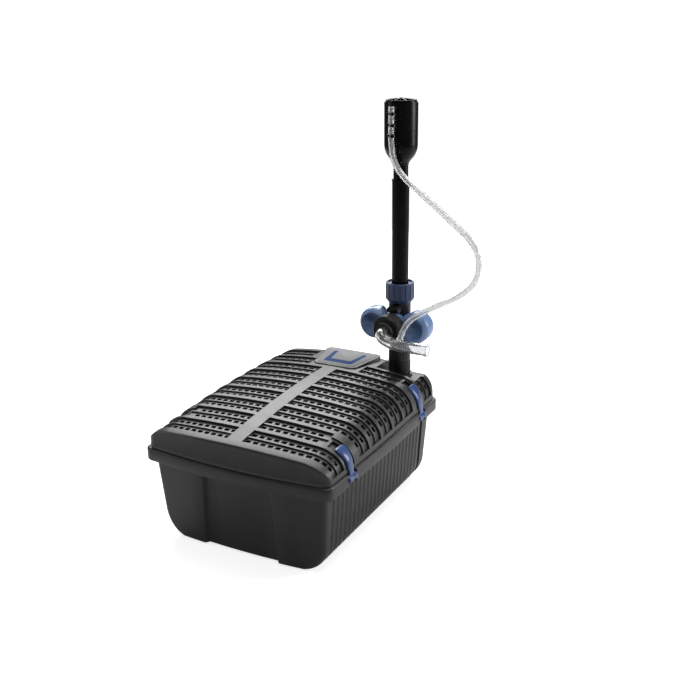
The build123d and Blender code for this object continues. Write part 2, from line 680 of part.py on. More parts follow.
# ---- telescope and nozzle ----
def make_telescope_tube():
    tube = pipe(RISER_X, RISER_Y, TUBE_BOTTOM_Z, TUBE_TOP_Z, TUBE_R, TUBE_R - TUBE_WALL)
    return solid_of(tube)


def make_tube_top_ring():
    """Thin end ring at the top of the telescopic tube."""
    return solid_of(pipe(RISER_X, RISER_Y, TUBE_TOP_Z, TUBE_TOP_Z + 2.5, TUBE_R + 0.5, NECK_R + RUNNING))


def nozzle_profile(inset, z_low, z_top):
    """Half outline of the nozzle body, as a face in XZ to be turned about the riser axis."""
    neck = NECK_R - inset
    wide = NOZZLE_R - inset
    edges = [
        Edge.make_line((0, 0, z_low), (neck, 0, z_low)),
        Edge.make_line((neck, 0, z_low), (neck, 0, 508)),
        Edge.make_spline([(neck, 0, 508), (neck + 6.5, 0, 521), (wide, 0, NOZZLE_LOW_Z + 4)],
                         tangents=[(0, 0, 1), (0, 0, 1)]),
        Edge.make_line((wide, 0, NOZZLE_LOW_Z + 4), (wide, 0, z_top)),
        Edge.make_line((wide, 0, z_top), (0, 0, z_top)),
        Edge.make_line((0, 0, z_top), (0, 0, z_low)),
    ]
    return Face(Wire(edges))


def turned(face):
    """A half outline turned about the riser axis."""
    return Pos(RISER_X, RISER_Y, 0) * Solid.revolve(face, 360, Axis.Z)


def make_nozzle_body():
    body = turned(nozzle_profile(0, TUBE_TOP_Z - 14, NOZZLE_TOP_Z))
    hollow = turned(nozzle_profile(2.2, TUBE_TOP_Z - 20, NOZZLE_TOP_Z + 5))
    body = body - hollow
    return solid_of(body)


def make_nozzle_cap():
    """Spoked cap on the nozzle's mouth."""
    cap = pipe(RISER_X, RISER_Y, NOZZLE_TOP_Z, CAP_TOP_Z, NOZZLE_R - 1.8, NOZZLE_R - 5.0)
    cap = cap + pipe(RISER_X, RISER_Y, NOZZLE_TOP_Z - 6, NOZZLE_TOP_Z, NOZZLE_R - 2.3, NOZZLE_R - 5.0)
    for k in range(3):
        bar = Rot(0, 0, 20 + 60 * k) * Box(2 * (NOZZLE_R - 4.0), 2.2, 4.0)
        cap = cap + Pos(RISER_X, RISER_Y, CAP_TOP_Z - 3.0) * bar
    return solid_of(cap)


def make_jet_insert():
    """Inner jet of the foam nozzle, with three webs to the nozzle's wall."""
    jet = pipe(RISER_X, RISER_Y, 520, 575, 8.0, 6.2)
    ring = pipe(RISER_X, RISER_Y, 545, 551, NOZZLE_R - 2.25, NOZZLE_R - 4.5)
    webs = []
    for k in range(3):
        web = Rot(0, 0, 60 * k) * Box(2 * (NOZZLE_R - 3.5), 2.0, 6.0)
        webs.append(Pos(RISER_X, RISER_Y, 548) * web)
    body = jet + ring
    for web in webs:
        body = body + (web - rod(RISER_X, RISER_Y, 500, 600, 7.0))
    return solid_of(body)


def make_hose_clips():
    """Three open clips on the nozzle that hold the air hose."""
    clips = []
    for z in (556.0, 571.0, 587.0):
        clip = pipe(91.0, 125.5, z - 2, z + 2, HOSE_D / 2 + 2.2, HOSE_D / 2 + 0.5)
        clip = clip + box(88.5, 93.5, 125.5 + HOSE_D / 2 + 0.8, RISER_Y - NOZZLE_R + 3, z - 2, z + 2)
        clip = clip - box(88.8, 93.2, 110, 125.5, z - 3, z + 3)
        clip = clip - rod(RISER_X, RISER_Y, z - 5, z + 5, NOZZLE_R)
        clips.append(solid_of(clip))
    return clips


# ---- pump, clarifier and filter media ----
def make_pump_housing():
    body = rod_x(PUMP_Y, PUMP_Z, PUMP_X - 44, PUMP_X + 8, 30)
    body = body + box(PUMP_X - 40, PUMP_X + 4, PUMP_Y - 24, PUMP_Y + 24, FOOT_PROUD + WALL, 52)
    body = body - rod_x(PUMP_Y, PUMP_Z, PUMP_X - 38, PUMP_X + 9, CAN_R)
    return solid_of(body)


def make_volute():
    """Pump volute with its outlet duct up to the socket."""
    body = rod_x(PUMP_Y, PUMP_Z, PUMP_X + 8.2, PUMP_X + 26, 28)
    body = body - rod_x(PUMP_Y, PUMP_Z, PUMP_X + 7, PUMP_X + 22, 24)
    body = body - rod_x(PUMP_Y, PUMP_Z, PUMP_X + 21, PUMP_X + 27, 9)
    stub = rod(RISER_X, PUMP_Y, PUMP_Z + 22, 84, 9.0) - rod(RISER_X, PUMP_Y, PUMP_Z, 85, 7.0)
    stub = stub - rod_x(PUMP_Y, PUMP_Z, PUMP_X + 7, PUMP_X + 27, 27)
    body = body - rod(RISER_X, PUMP_Y, PUMP_Z + 20, 85, 7.0)
    return solid_of(body + stub)


def make_outlet_duct():
    """Duct from the volute back and up to the riser socket."""
    bore_z = 98.0
    body = pipe(RISER_X, SPIGOT_Y, 86, 136, SPIGOT_R + 3.2, SPIGOT_R + 0.25)
    body = body + rod(RISER_X, SPIGOT_Y, 83, 86, SPIGOT_R + 3.2)
    body = body + rod(RISER_X, PUMP_Y, 82.4, 110, 11.5)
    body = body + rod_y(RISER_X, bore_z, PUMP_Y, SPIGOT_Y, 10)
    body = body - rod_y(RISER_X, bore_z, PUMP_Y, SPIGOT_Y, 7.5)
    body = body - rod(RISER_X, PUMP_Y, 79, 84, 9.0) - rod(RISER_X, PUMP_Y, 83, 107, 8)
    body = body - rod(RISER_X, SPIGOT_Y, 86, 140, SPIGOT_R + 0.25)
    return solid_of(body - rod_x(PUMP_Y, PUMP_Z, PUMP_X + 8, PUMP_X + 27, 28))


def make_shaft():
    return rod_x(PUMP_Y, PUMP_Z, PUMP_X - 38, PUMP_X + 22, SHAFT_R)


def make_bearings():
    """Rear disc that holds the fixed shaft, and front disc that the rotor's sleeve runs in."""
    bearings = []
    for x0, bore_r in ((PUMP_X - 38, SHAFT_R), (PUMP_X + 3, SLEEVE_R + RUNNING)):
        disc = rod_x(PUMP_Y, PUMP_Z, x0, x0 + 5, CAN_R)
        bearings.append(disc - rod_x(PUMP_Y, PUMP_Z, x0 - 1, x0 + 6, bore_r))
    return bearings


def make_rotor_magnet():
    """Magnet with the sleeve that carries the impeller."""
    magnet = rod_x(PUMP_Y, PUMP_Z, PUMP_X - 32.5, PUMP_X + 2.5, CAN_R - 1.0)
    magnet = magnet + rod_x(PUMP_Y, PUMP_Z, PUMP_X, PUMP_X + 8.6, SLEEVE_R)
    return solid_of(magnet - rod_x(PUMP_Y, PUMP_Z, PUMP_X - 40, PUMP_X + 10, SHAFT_R + RUNNING))


def make_impeller():
    hub = rod_x(PUMP_Y, PUMP_Z, PUMP_X + 8.6, PUMP_X + 20, 7)
    plate = rod_x(PUMP_Y, PUMP_Z, PUMP_X + 8.6, PUMP_X + 10.6, 22)
    blades = []
    for k in range(6):
        blade = Pos(PUMP_X + 14.5, PUMP_Y, PUMP_Z) * Rot(60 * k, 0, 0) * (Pos(0, 14, 0) * Box(8, 14, 1.8))
        blades.append(blade)
    body = hub + plate
    for blade in blades:
        body = body + blade
    return solid_of(body - rod_x(PUMP_Y, PUMP_Z, PUMP_X, PUMP_X + 30, SHAFT_R + RUNNING))


def make_pump_screws():
    screws = []
    for k in range(4):
        a = math.radians(45 + 90 * k)
        y = PUMP_Y + 26 * math.cos(a)
        z = PUMP_Z + 26 * math.sin(a)
        head = rod_x(y, z, PUMP_X + 26, PUMP_X + 28.5, 2.6)
        screws.append(head)
    return screws


def make_uvc_housing():
    """Clarifier housing: a long closed tube beside the pump."""
    body = rod_y(UVC_X, UVC_Z, 20, 150, 30) - rod_y(UVC_X, UVC_Z, 24, 151, 27)
    foot = box(UVC_X - 16, UVC_X + 16, 40, 140, FOOT_PROUD + WALL, 34)
    return solid_of(body + (foot - rod_y(UVC_X, UVC_Z, 10, 151, 29)))


def make_uvc_cap():
    body = rod_y(UVC_X, UVC_Z, 150, 158, 30) + rod_y(UVC_X, UVC_Z, 142, 150, 26.9)
    return solid_of(body - rod_y(UVC_X, UVC_Z, 140, 152, 15.2))


def make_quartz_sleeve():
    return solid_of(rod_y(UVC_X, UVC_Z, 34, 152, 12) - rod_y(UVC_X, UVC_Z, 36, 153, 10.6))


def make_uv_lamp():
    return rod_y(UVC_X, UVC_Z, 44, 142, 7.0)


def make_lamp_socket():
    return rod_y(UVC_X, UVC_Z, 142, 152, 10.4)


def make_sleeve_seal():
    return solid_of(rod_y(UVC_X, UVC_Z, 144, 148, 15.1) - rod_y(UVC_X, UVC_Z, 143, 149, 12.0))


def make_foam(y0, y1, x0, x1):
    """A foam block that fills part of the tub."""
    room = along_y(tub_section(-WALL - 0.3), -200, 200) & end_block(12)
    return solid_of(box(x0, x1, y0, y1, FOOT_PROUD + WALL, FOAM_TOP_Z) & room)


def make_media_tray():
    """Open tray behind the foams."""
    tray = box(-TRAY_HALF_X, TRAY_HALF_X, -62, 8, TRAY_LOW_Z, TRAY_TOP_Z)
    half = TRAY_HALF_X - WALL
    inside = box(-half, half, -62 + WALL, 8 - WALL, TRAY_LOW_Z + WALL, TRAY_TOP_Z + 1)
    return solid_of(tray - inside)


def make_media_bed():
    """Ceramic media in the tray, as one block."""
    half = TRAY_HALF_X - WALL - 0.5
    return box(-half, half, -58.5, 4.5, TRAY_LOW_Z + WALL, TRAY_TOP_Z - 8)


def make_gland_body():
    """Cable gland with its flange on the rear wall's boss."""
    gland = rod_y(GLAND_X, GLAND_Z, 158, 186, GLAND_R)
    gland = gland + rod_y(GLAND_X, GLAND_Z, GLAND_OUTER_Y, GLAND_OUTER_Y + 4, 11)
    return solid_of(gland - rod_y(GLAND_X, GLAND_Z, 150, 190, GLAND_BORE_R))


def make_gland_nut():
    """Nut that holds the gland, on the inner side of the boss."""
    nut = rod_y(GLAND_X, GLAND_Z, GLAND_INNER_Y - 6, GLAND_INNER_Y, 12)
    return solid_of(nut - rod_y(GLAND_X, GLAND_Z, 150, 170, GLAND_R))


def main():
    save("base_tub", make_tub())
    save("tub_feet", *make_feet())
    save("rim_seal", *make_seal_ring())
    save("clip_pins", *make_clip_pins())
    save("lid_shell", make_lid())
    save("label_plate", make_label())
    save("label_inlay", make_label_inlay())
    for name, side, y in (
        ("clip_front_right", 1, CLIP_FRONT_Y),
        ("clip_front_left", -1, CLIP_FRONT_Y),
        ("clip_rear_right", 1, CLIP_REAR_Y),
        ("clip_rear_left", -1, CLIP_REAR_Y),
    ):
        save(name, make_clip(side, y))
    save("riser_socket", make_riser_socket())
    save("socket_seal", make_socket_seal())
    save("riser_body", make_riser_body())
    save("union_collar", make_union_collar())
    save("outlet_housing", make_outlet_housing())
    save("outlet_ring", make_outlet_ring())
    save("regulator_wing", make_regulator())
    save("valve_disc", make_valve_disc())
    save("clamp_nut", make_clamp_nut())
    save("venturi_tube", make_venturi_tube())
    save("hose_barb", make_hose_barb())
    save("air_hose", make_air_hose())
    save("telescope_tube", make_telescope_tube())
    save("tube_top_ring", make_tube_top_ring())
    save("nozzle_body", make_nozzle_body())
    save("nozzle_cap", make_nozzle_cap())
    save("jet_insert", make_jet_insert())
    save("hose_clips", *make_hose_clips())
    save("pump_housing", make_pump_housing())
    save("pump_volute", make_volute())
    save("outlet_duct", make_outlet_duct())
    save("pump_shaft", make_shaft())
    save("shaft_bearings", *make_bearings())
    save("rotor_magnet", make_rotor_magnet())
    save("impeller", make_impeller())
    save("pump_screws", *make_pump_screws())
    save("uvc_housing", make_uvc_housing())
    save("uvc_cap", make_uvc_cap())
    save("quartz_sleeve", make_quartz_sleeve())
    save("uv_lamp", make_uv_lamp())
    save("lamp_socket", make_lamp_socket())
    save("sleeve_seal", make_sleeve_seal())
    save("coarse_foam", make_foam(-160, -112, -128, 128))
    save("fine_foam", make_foam(-110, -66, -128, 128))
    save("media_tray", make_media_tray())
    save("ceramic_media", make_media_bed())
    save("gland_body", make_gland_body())
    save("gland_nut", make_gland_nut())


main()
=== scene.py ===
import json
import math

import bmesh
import bpy
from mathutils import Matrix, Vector


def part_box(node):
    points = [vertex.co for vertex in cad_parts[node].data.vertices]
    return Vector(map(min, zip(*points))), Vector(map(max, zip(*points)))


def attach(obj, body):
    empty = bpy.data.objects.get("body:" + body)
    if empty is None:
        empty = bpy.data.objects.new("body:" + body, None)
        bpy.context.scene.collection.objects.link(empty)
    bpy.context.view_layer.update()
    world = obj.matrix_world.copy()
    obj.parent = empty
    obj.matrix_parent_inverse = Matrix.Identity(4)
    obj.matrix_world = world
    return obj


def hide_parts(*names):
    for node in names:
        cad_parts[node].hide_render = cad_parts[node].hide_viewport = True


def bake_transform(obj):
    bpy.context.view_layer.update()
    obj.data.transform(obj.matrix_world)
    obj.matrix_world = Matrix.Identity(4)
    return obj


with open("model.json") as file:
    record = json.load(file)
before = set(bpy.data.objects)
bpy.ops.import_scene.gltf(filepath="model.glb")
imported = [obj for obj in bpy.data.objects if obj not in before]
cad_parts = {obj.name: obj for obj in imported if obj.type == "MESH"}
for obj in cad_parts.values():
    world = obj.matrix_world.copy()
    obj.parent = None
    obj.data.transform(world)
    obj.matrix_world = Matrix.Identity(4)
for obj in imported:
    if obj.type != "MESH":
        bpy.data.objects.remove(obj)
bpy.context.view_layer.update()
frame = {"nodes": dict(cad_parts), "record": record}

MM = 0.001
NODES = frame["nodes"]

# ---- sizes in millimetres that several pieces share; they follow the CAD part ----
RIM_HALF_X = 150.7
RIM_HALF_Y = 179.0
BOW_X = 2.6                   # how far the rim's long sides bulge past its corners
BOW_Y = 9.9                   # how far its ends bulge
SEAM_Z = 140.0                # top of the rim, where the lid sits
LID_INSET = 3.4               # lid edge inside the rim
LID_EDGE_Z = 146.0            # top of the lid's upright edge
CROWN = 5.08e-4               # sideways crown, mm per mm squared
SHOULDER_X = 110.0            # where the crown turns into the rounded shoulder
SHOULDER_REACH = 36.5
SHOULDER_LENGTH = 52.0        # along the shoulder, from the crown's edge to the upright edge
CLIP_YS = (-117.0, 115.0)
CLIP_PIVOT = (149.5, 131.0)
RISER = (92.0, 158.0)
OUTLET_Z = 265.0


# ---- small helpers ----
def mesh_piece(name, points, faces, material, smooth=30.0):
    """A mesh object from points in millimetres. Edges sharper than smooth degrees stay sharp."""
    data = bpy.data.meshes.new(name)
    data.from_pydata([tuple(MM * c for c in p) for p in points], [], faces)
    data.validate()
    work = bmesh.new()
    work.from_mesh(data)
    bmesh.ops.remove_doubles(work, verts=work.verts, dist=1e-6)
    bmesh.ops.recalc_face_normals(work, faces=work.faces)
    work.to_mesh(data)
    work.free()
    piece = bpy.data.objects.new(name, data)
    bpy.context.scene.collection.objects.link(piece)
    data.materials.append(material)
    if smooth:
        data.shade_smooth()
        data.set_sharp_from_angle(angle=math.radians(smooth))
    return piece


def settle(piece, body, slot, *nodes):
    """The piece rides on a body and stands for CAD nodes, which it hides. slot is not used."""
    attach(piece, body)
    if nodes:
        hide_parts(*nodes)


def ring_faces(rows, count):
    """Quads between closed rows of count points each."""
    faces = []
    for r in range(rows - 1):
        for k in range(count):
            a = r * count + k
            b = r * count + (k + 1) % count
            faces.append((a, b, b + count, a + count))
    return faces


def shifted(faces, offset):
    """The same faces for points that start at offset."""
    return [tuple(offset + k for k in face) for face in faces]


def lathe(profile, centre, segments):
    """Points and faces of a closed profile of (radius, height) turned about an upright axis."""
    points = []
    for radius, z in profile:
        for k in range(segments):
            a = 2 * math.pi * k / segments
            points.append((centre[0] + radius * math.cos(a), centre[1] + radius * math.sin(a), z))
    faces = ring_faces(len(profile), segments)
    top = (len(profile) - 1) * segments
    for k in range(segments):
        n = (k + 1) % segments
        faces.append((top + k, top + n, n, k))
    return points, faces


def stacked(name, loops, material, smooth):
    """A closed mesh from loops of equal length, capped at both ends."""
    count = len(loops[0])
    points = [p for loop in loops for p in loop]
    faces = ring_faces(len(loops), count)
    faces.append(tuple(reversed(range(count))))
    faces.append(tuple(range((len(loops) - 1) * count, len(loops) * count)))
    return mesh_piece(name, points, faces, material, smooth)


def clamped(share):
    return min(1.0, max(0.0, share))


# ---- materials ----
GRAIN_SCALE = 900.0           # surface grain of moulded plastic
MOTTLE_SCALE = 38.0
RIPPLE_SCALE = 60.0           # flow ripple in clear plastic
STREAK_SCALE = 300.0          # turning marks in metal


def new_material(name):
    material = bpy.data.materials.new(name)
    material.use_nodes = True
    nodes = material.node_tree.nodes
    shader = nodes["Principled BSDF"]
    return material, nodes, material.node_tree.links, shader


def noise(nodes, links, scale, detail=2.0):
    """A noise value over the object's own coordinates."""
    place = nodes.new("ShaderNodeTexCoord")
    texture = nodes.new("ShaderNodeTexNoise")
    texture.inputs["Scale"].default_value = scale
    texture.inputs["Detail"].default_value = detail
    texture.inputs["Roughness"].default_value = 0.55
    links.new(place.outputs["Object"], texture.inputs["Vector"])
    return texture.outputs["Fac"]


def ramp(nodes, links, value, low, high, span=(0.0, 1.0)):
    """A colour that goes from low to high as value crosses span."""
    node = nodes.new("ShaderNodeValToRGB")
    for stop, place, colour in zip(node.color_ramp.elements, span, (low, high)):
        stop.position = place
        stop.color = (*colour, 1)
    links.new(value, node.inputs["Fac"])
    return node.outputs["Color"]


def mapped(nodes, links, value, low, high):
    """A node that maps value from 0 to 1 to low to high."""
    node = nodes.new("ShaderNodeMapRange")
    node.inputs["To Min"].default_value = low
    node.inputs["To Max"].default_value = high
    links.new(value, node.inputs["Value"])
    return node


def roughen(nodes, links, shader, value, low, high):
    links.new(mapped(nodes, links, value, low, high).outputs["Result"], shader.inputs["Roughness"])


def bump(nodes, links, shader, value, strength, distance):
    node = nodes.new("ShaderNodeBump")
    node.inputs["Strength"].default_value = strength
    node.inputs["Distance"].default_value = distance
    links.new(value, node.inputs["Height"])
    links.new(node.outputs["Normal"], shader.inputs["Normal"])


def scaled(colour, factor):
    return [min(1, c * factor) for c in colour]


def moulded(name, colour, roughness, depth=0.10, wear_and_highlight=0.35, mottle=0.25, coat=0.0, gloss=0.5):
    """Moulded plastic: fine surface grain, faint mottling and slightly paler edges, painted as a highlight
    on convex edges together with wear.
    """
    material, nodes, links, shader = new_material(name)
    shader.inputs["IOR"].default_value = 1.49
    shader.inputs["Specular IOR Level"].default_value = gloss
    shader.inputs["Coat Weight"].default_value = coat
    shader.inputs["Coat Roughness"].default_value = 0.12
    cloud = noise(nodes, links, MOTTLE_SCALE, 3.0)
    ground = ramp(nodes, links, cloud, scaled(colour, 1 - mottle), scaled(colour, 1 + mottle), (0.32, 0.72))
    # Pointiness paints convex edges paler: a painted edge highlight, partly wear as well.
    edge = nodes.new("ShaderNodeNewGeometry")
    worn_and_highlit = ramp(nodes, links, edge.outputs["Pointiness"], (0, 0, 0), (wear_and_highlight, wear_and_highlight, wear_and_highlight), (0.50, 0.62))
    mix = nodes.new("ShaderNodeMix")
    mix.data_type = "RGBA"
    factor, plain, paler = mix.inputs[0], mix.inputs[6], mix.inputs[7]
    paler.default_value = (*[min(1, 0.06 + 1.8 * c) for c in colour], 1)
    links.new(worn_and_highlit, factor)
    links.new(ground, plain)
    links.new(mix.outputs[2], shader.inputs["Base Color"])
    roughen(nodes, links, shader, cloud, max(0.03, roughness - 0.07), roughness + 0.07)
    bump(nodes, links, shader, noise(nodes, links, GRAIN_SCALE), depth, 0.0004)
    return material


def clear(name, colour, roughness, ior, ripple=0.05, through=1.0):
    """Clear moulded or extruded plastic with a faint flow ripple."""
    material, nodes, links, shader = new_material(name)
    shader.inputs["IOR"].default_value = ior
    shader.inputs["Transmission Weight"].default_value = through
    flow = noise(nodes, links, RIPPLE_SCALE)
    tint = ramp(nodes, links, flow, scaled(colour, 0.97), colour)
    links.new(tint, shader.inputs["Base Color"])
    roughen(nodes, links, shader, flow, roughness, roughness + 0.05)
    bump(nodes, links, shader, flow, ripple, 0.001)
    return material


def metal(name, colour, roughness):
    """Turned metal with fine streaks of varying roughness."""
    material, nodes, links, shader = new_material(name)
    shader.inputs["Metallic"].default_value = 1.0
    streak = noise(nodes, links, STREAK_SCALE, 4.0)
    links.new(ramp(nodes, links, streak, scaled(colour, 0.8), colour), shader.inputs["Base Color"])
    roughen(nodes, links, shader, streak, roughness, roughness + 0.15)
    return material


def cellular(name, colour, cell, depth):
    """Open-cell foam or porous ceramic."""
    material, nodes, links, shader = new_material(name)
    shader.inputs["Roughness"].default_value = 0.95
    shader.inputs["Specular IOR Level"].default_value = 0.15
    place = nodes.new("ShaderNodeTexCoord")
    pores = nodes.new("ShaderNodeTexVoronoi")
    pores.inputs["Scale"].default_value = cell
    links.new(place.outputs["Object"], pores.inputs["Vector"])
    pore = pores.outputs["Distance"]
    # The pits are painted darker than the cell walls: painted shade in the pores.
    tint = ramp(nodes, links, pore, scaled(colour, 0.25), colour, (0.1, 0.55))
    links.new(tint, shader.inputs["Base Color"])
    bump(nodes, links, shader, pore, depth, 0.002)
    return material


def printed(name, colour, roughness, mottle):
    """The label's flat plastic: no grain to speak of, no paler edges of painted highlight and wear, and
    little gloss.
    """
    return moulded(name, colour, roughness, depth=0.02, wear_and_highlight=0.0, mottle=mottle, gloss=0.06)


def blue_plastic(name, colour, roughness, coat=0.0):
    return moulded(name, colour, roughness, depth=0.05, mottle=0.12, coat=coat)


MATERIALS = {
    "tub_black": moulded("tub_plastic", (0.011, 0.011, 0.0115), 0.42, depth=0.12, gloss=0.45),
    "lid_black": moulded("lid_plastic", (0.024, 0.024, 0.0245), 0.40, depth=0.14, gloss=0.45),
    "riser_black": moulded("riser_plastic", (0.006, 0.006, 0.0065), 0.34, gloss=0.3),
    "tube_black": moulded("tube_plastic", (0.0015, 0.0015, 0.0018), 0.26, depth=0.04, wear_and_highlight=0.06, gloss=0.12),
    "nozzle_black": moulded("nozzle_plastic", (0.0018, 0.0018, 0.002), 0.28,
                            depth=0.05, wear_and_highlight=0.06, gloss=0.14),
    "inner_black": moulded("inner_plastic", (0.010, 0.010, 0.011), 0.5, gloss=0.3),
    "clip_blue": blue_plastic("clip_plastic", (0.026, 0.058, 0.19), 0.30, coat=0.25),
    "regulator_blue": blue_plastic("regulator_plastic", (0.115, 0.190, 0.36), 0.34, coat=0.2),
    "nut_blue": blue_plastic("nut_plastic", (0.014, 0.034, 0.105), 0.30),
    "label_white": printed("label_plastic", (0.22, 0.223, 0.226), 0.62, mottle=0.03),
    "label_blue": printed("label_print", (0.014, 0.045, 0.15), 0.60, mottle=0.06),
    "clear_acrylic": clear("clear_acrylic", (0.88, 0.89, 0.89), 0.03, 1.49, through=0.95),
    "clear_hose": clear("clear_pvc", (0.84, 0.85, 0.86), 0.09, 1.42, ripple=0.06, through=0.88),
    "rubber_black": moulded("rubber", (0.018, 0.018, 0.018), 0.75, wear_and_highlight=0.1),
    "pin_steel": metal("turned_steel", (0.62, 0.62, 0.60), 0.25),
    "ceramic_white": moulded("ceramic", (0.75, 0.74, 0.70), 0.35, wear_and_highlight=0.0),
    "quartz": clear("quartz", (0.97, 0.98, 1.0), 0.02, 1.46),
    "lamp_glass": clear("lamp_glass", (0.85, 0.88, 0.95), 0.25, 1.5),
    "foam_blue": cellular("foam_blue", (0.020, 0.036, 0.075), 420.0, 0.9),
    "foam_red": cellular("foam_red", (0.060, 0.020, 0.018), 620.0, 0.8),
    "media_grey": cellular("ceramic_media", (0.55, 0.50, 0.44), 90.0, 1.0),
    "magnet_grey": moulded("magnet", (0.12, 0.12, 0.13), 0.35),
}


def dress_cad_nodes():
    """Every CAD node gets its slot's material."""
    slots = {s["node"]: s["material_slot"] for s in frame["record"]["subparts"]}
    for name, node in NODES.items():
        node.data.materials.clear()
        node.data.materials.append(MATERIALS[slots[name]])


# ---- camera, lights and floor ----
CAMERA_PLACE = (0.68604, -1.11729, 0.71165)
CAMERA_TILT = 0.33761         # down from level, radians
CAMERA_TURN = 0.45804         # to the left of +Y, radians
CAMERA_LENS = 48.07
CAMERA_SHIFT = -0.0429

ROOM_LIGHT = 0.07             # what the white surroundings shed on the object
BACKDROP = 1.05               # the backdrop as the camera sees it
SEEN_THROUGH = 0.86           # the backdrop behind clear parts
FLOOR_GLOW = 0.76             # how far the floor is white by itself, which keeps its shadows faint
FLOOR_SPILL = 0.10            # what that glow sheds on the object
FLOOR_HALF = 1900.0           # half width in mm: the floor ends ahead of the rear softbox
FLOOR_Z = -0.2

# name, place, what it points at, size, watts
LIGHTS = (
    ("overhead", (0.10, 0.55, 1.75), (0.03, 0.05, 0.15), (1.2, 1.2), 16.0),
    ("edge_strip", (0.30, -0.55, 1.65), (0, -0.1, 0.15), (1.4, 0.5), 6.0),
    ("rear_softbox", (-1.0, 2.0, 1.80), (0, -0.05, 0.17), (2.6, 1.3), 90.0),
    ("front_left", (-1.5, -0.7, 0.75), (-0.15, -0.1, 0.1), (0.6, 0.7), 4.5),
    ("right_side", (1.6, 1.0, 0.75), (0.1, 0, 0.15), (0.7, 0.9), 21.0),
)


def make_camera():
    data = bpy.data.cameras.new("camera")
    data.sensor_width = 36.0
    data.lens = CAMERA_LENS
    data.shift_x = CAMERA_SHIFT
    data.clip_end = 50.0
    camera = bpy.data.objects.new("camera", data)
    camera.location = CAMERA_PLACE
    camera.rotation_euler = (math.pi / 2 - CAMERA_TILT, 0.0, CAMERA_TURN)
    bpy.context.scene.collection.objects.link(camera)
    bpy.context.scene.camera = camera


def area_light(name, place, target, size, watts):
    data = bpy.data.lights.new(name, "AREA")
    data.shape = "RECTANGLE"
    data.size, data.size_y = size
    data.energy = watts
    light = bpy.data.objects.new(name, data)
    light.location = place
    light.rotation_euler = (Vector(target) - Vector(place)).to_track_quat("-Z", "Y").to_euler()
    light.visible_camera = False
    bpy.context.scene.collection.objects.link(light)


def make_world():
    """A white backdrop that lights the object far less than the camera sees."""
    scene = bpy.context.scene
    world = bpy.data.worlds.new("studio")
    world.use_nodes = True
    nodes = world.node_tree.nodes
    links = world.node_tree.links
    background = nodes["Background"]
    background.inputs["Color"].default_value = (1, 1, 1, 1)
    ray = nodes.new("ShaderNodeLightPath")
    through = mapped(nodes, links, ray.outputs["Is Transmission Ray"], ROOM_LIGHT, SEEN_THROUGH)
    level = mapped(nodes, links, ray.outputs["Is Camera Ray"], 0.0, BACKDROP)
    links.new(through.outputs["Result"], level.inputs["To Min"])
    links.new(level.outputs["Result"], background.inputs["Strength"])
    scene.world = world
    scene.view_settings.view_transform = "Standard"


def make_floor():
    """A pale floor that is nearly white by itself to the camera, so that only faint shadows show."""
    material, nodes, links, shader = new_material("floor")
    shader.inputs["Roughness"].default_value = 0.8
    shader.inputs["Emission Color"].default_value = (1, 1, 1, 1)
    seen = nodes.new("ShaderNodeLightPath")
    glow = mapped(nodes, links, seen.outputs["Is Camera Ray"], FLOOR_SPILL, FLOOR_GLOW)
    links.new(glow.outputs["Result"], shader.inputs["Emission Strength"])
    cloud = noise(nodes, links, 2.0, 3.0)
    links.new(ramp(nodes, links, cloud, (0.62, 0.62, 0.62), (0.64, 0.64, 0.64)), shader.inputs["Base Color"])
    corners = [(x * FLOOR_HALF, y * FLOOR_HALF, FLOOR_Z) for x, y in ((-1, -1), (1, -1), (1, 1), (-1, 1))]
    floor = mesh_piece("floor", corners, [(0, 1, 2, 3)], material, smooth=0)


def make_studio():
    make_world()
    for light in LIGHTS:
        area_light(*light)
    make_floor()


# ---- air hose ----
HOSE_D = 9.0
HOSE_WALL = 1.4
HOSE_SEGMENTS = 28
HOSE_ROUTE = [
    (127.8, 82.5, 265.2),
    (133.7, 82.5, 283.3),
    (146.3, 82.6, 298.8),
    (165.4, 82.8, 311.6),
    (188.0, 83.2, 324.6),
    (214.0, 84.0, 337.5),
    (236.5, 85.0, 355.5),
    (245.4, 86.5, 372.3),
    (247.1, 88.5, 391.2),
    (241.2, 91.0, 409.3),
    (225.5, 94.0, 427.4),
    (199.5, 99.0, 444.5),
    (172.0, 104.0, 463.0),
    (144.0, 109.5, 482.0),
    (117.0, 115.5, 498.5),
    (98.5, 121.0, 517.5),
    (91.3, 125.2, 541.0),
    (91.0, 125.5, 569.5),
    (91.2, 125.4, 597.5),
]


def smooth_line(points, name):
    """Points in metres along the NURBS spline whose control points are given in millimetres."""
    data = bpy.data.curves.new(name, "CURVE")
    data.dimensions = "3D"
    spline = data.splines.new("NURBS")
    spline.points.add(len(points) - 1)
    for target, p in zip(spline.points, points):
        target.co = (p[0] * MM, p[1] * MM, p[2] * MM, 1)
    spline.order_u = 3
    spline.use_endpoint_u = True
    spline.resolution_u = 10
    holder = bpy.data.objects.new(name, data)
    bpy.context.scene.collection.objects.link(holder)
    line = bpy.data.meshes.new_from_object(holder)
    found = [v.co.copy() for v in line.vertices]
    bpy.data.meshes.remove(line)
    bpy.data.objects.remove(holder)
    return found


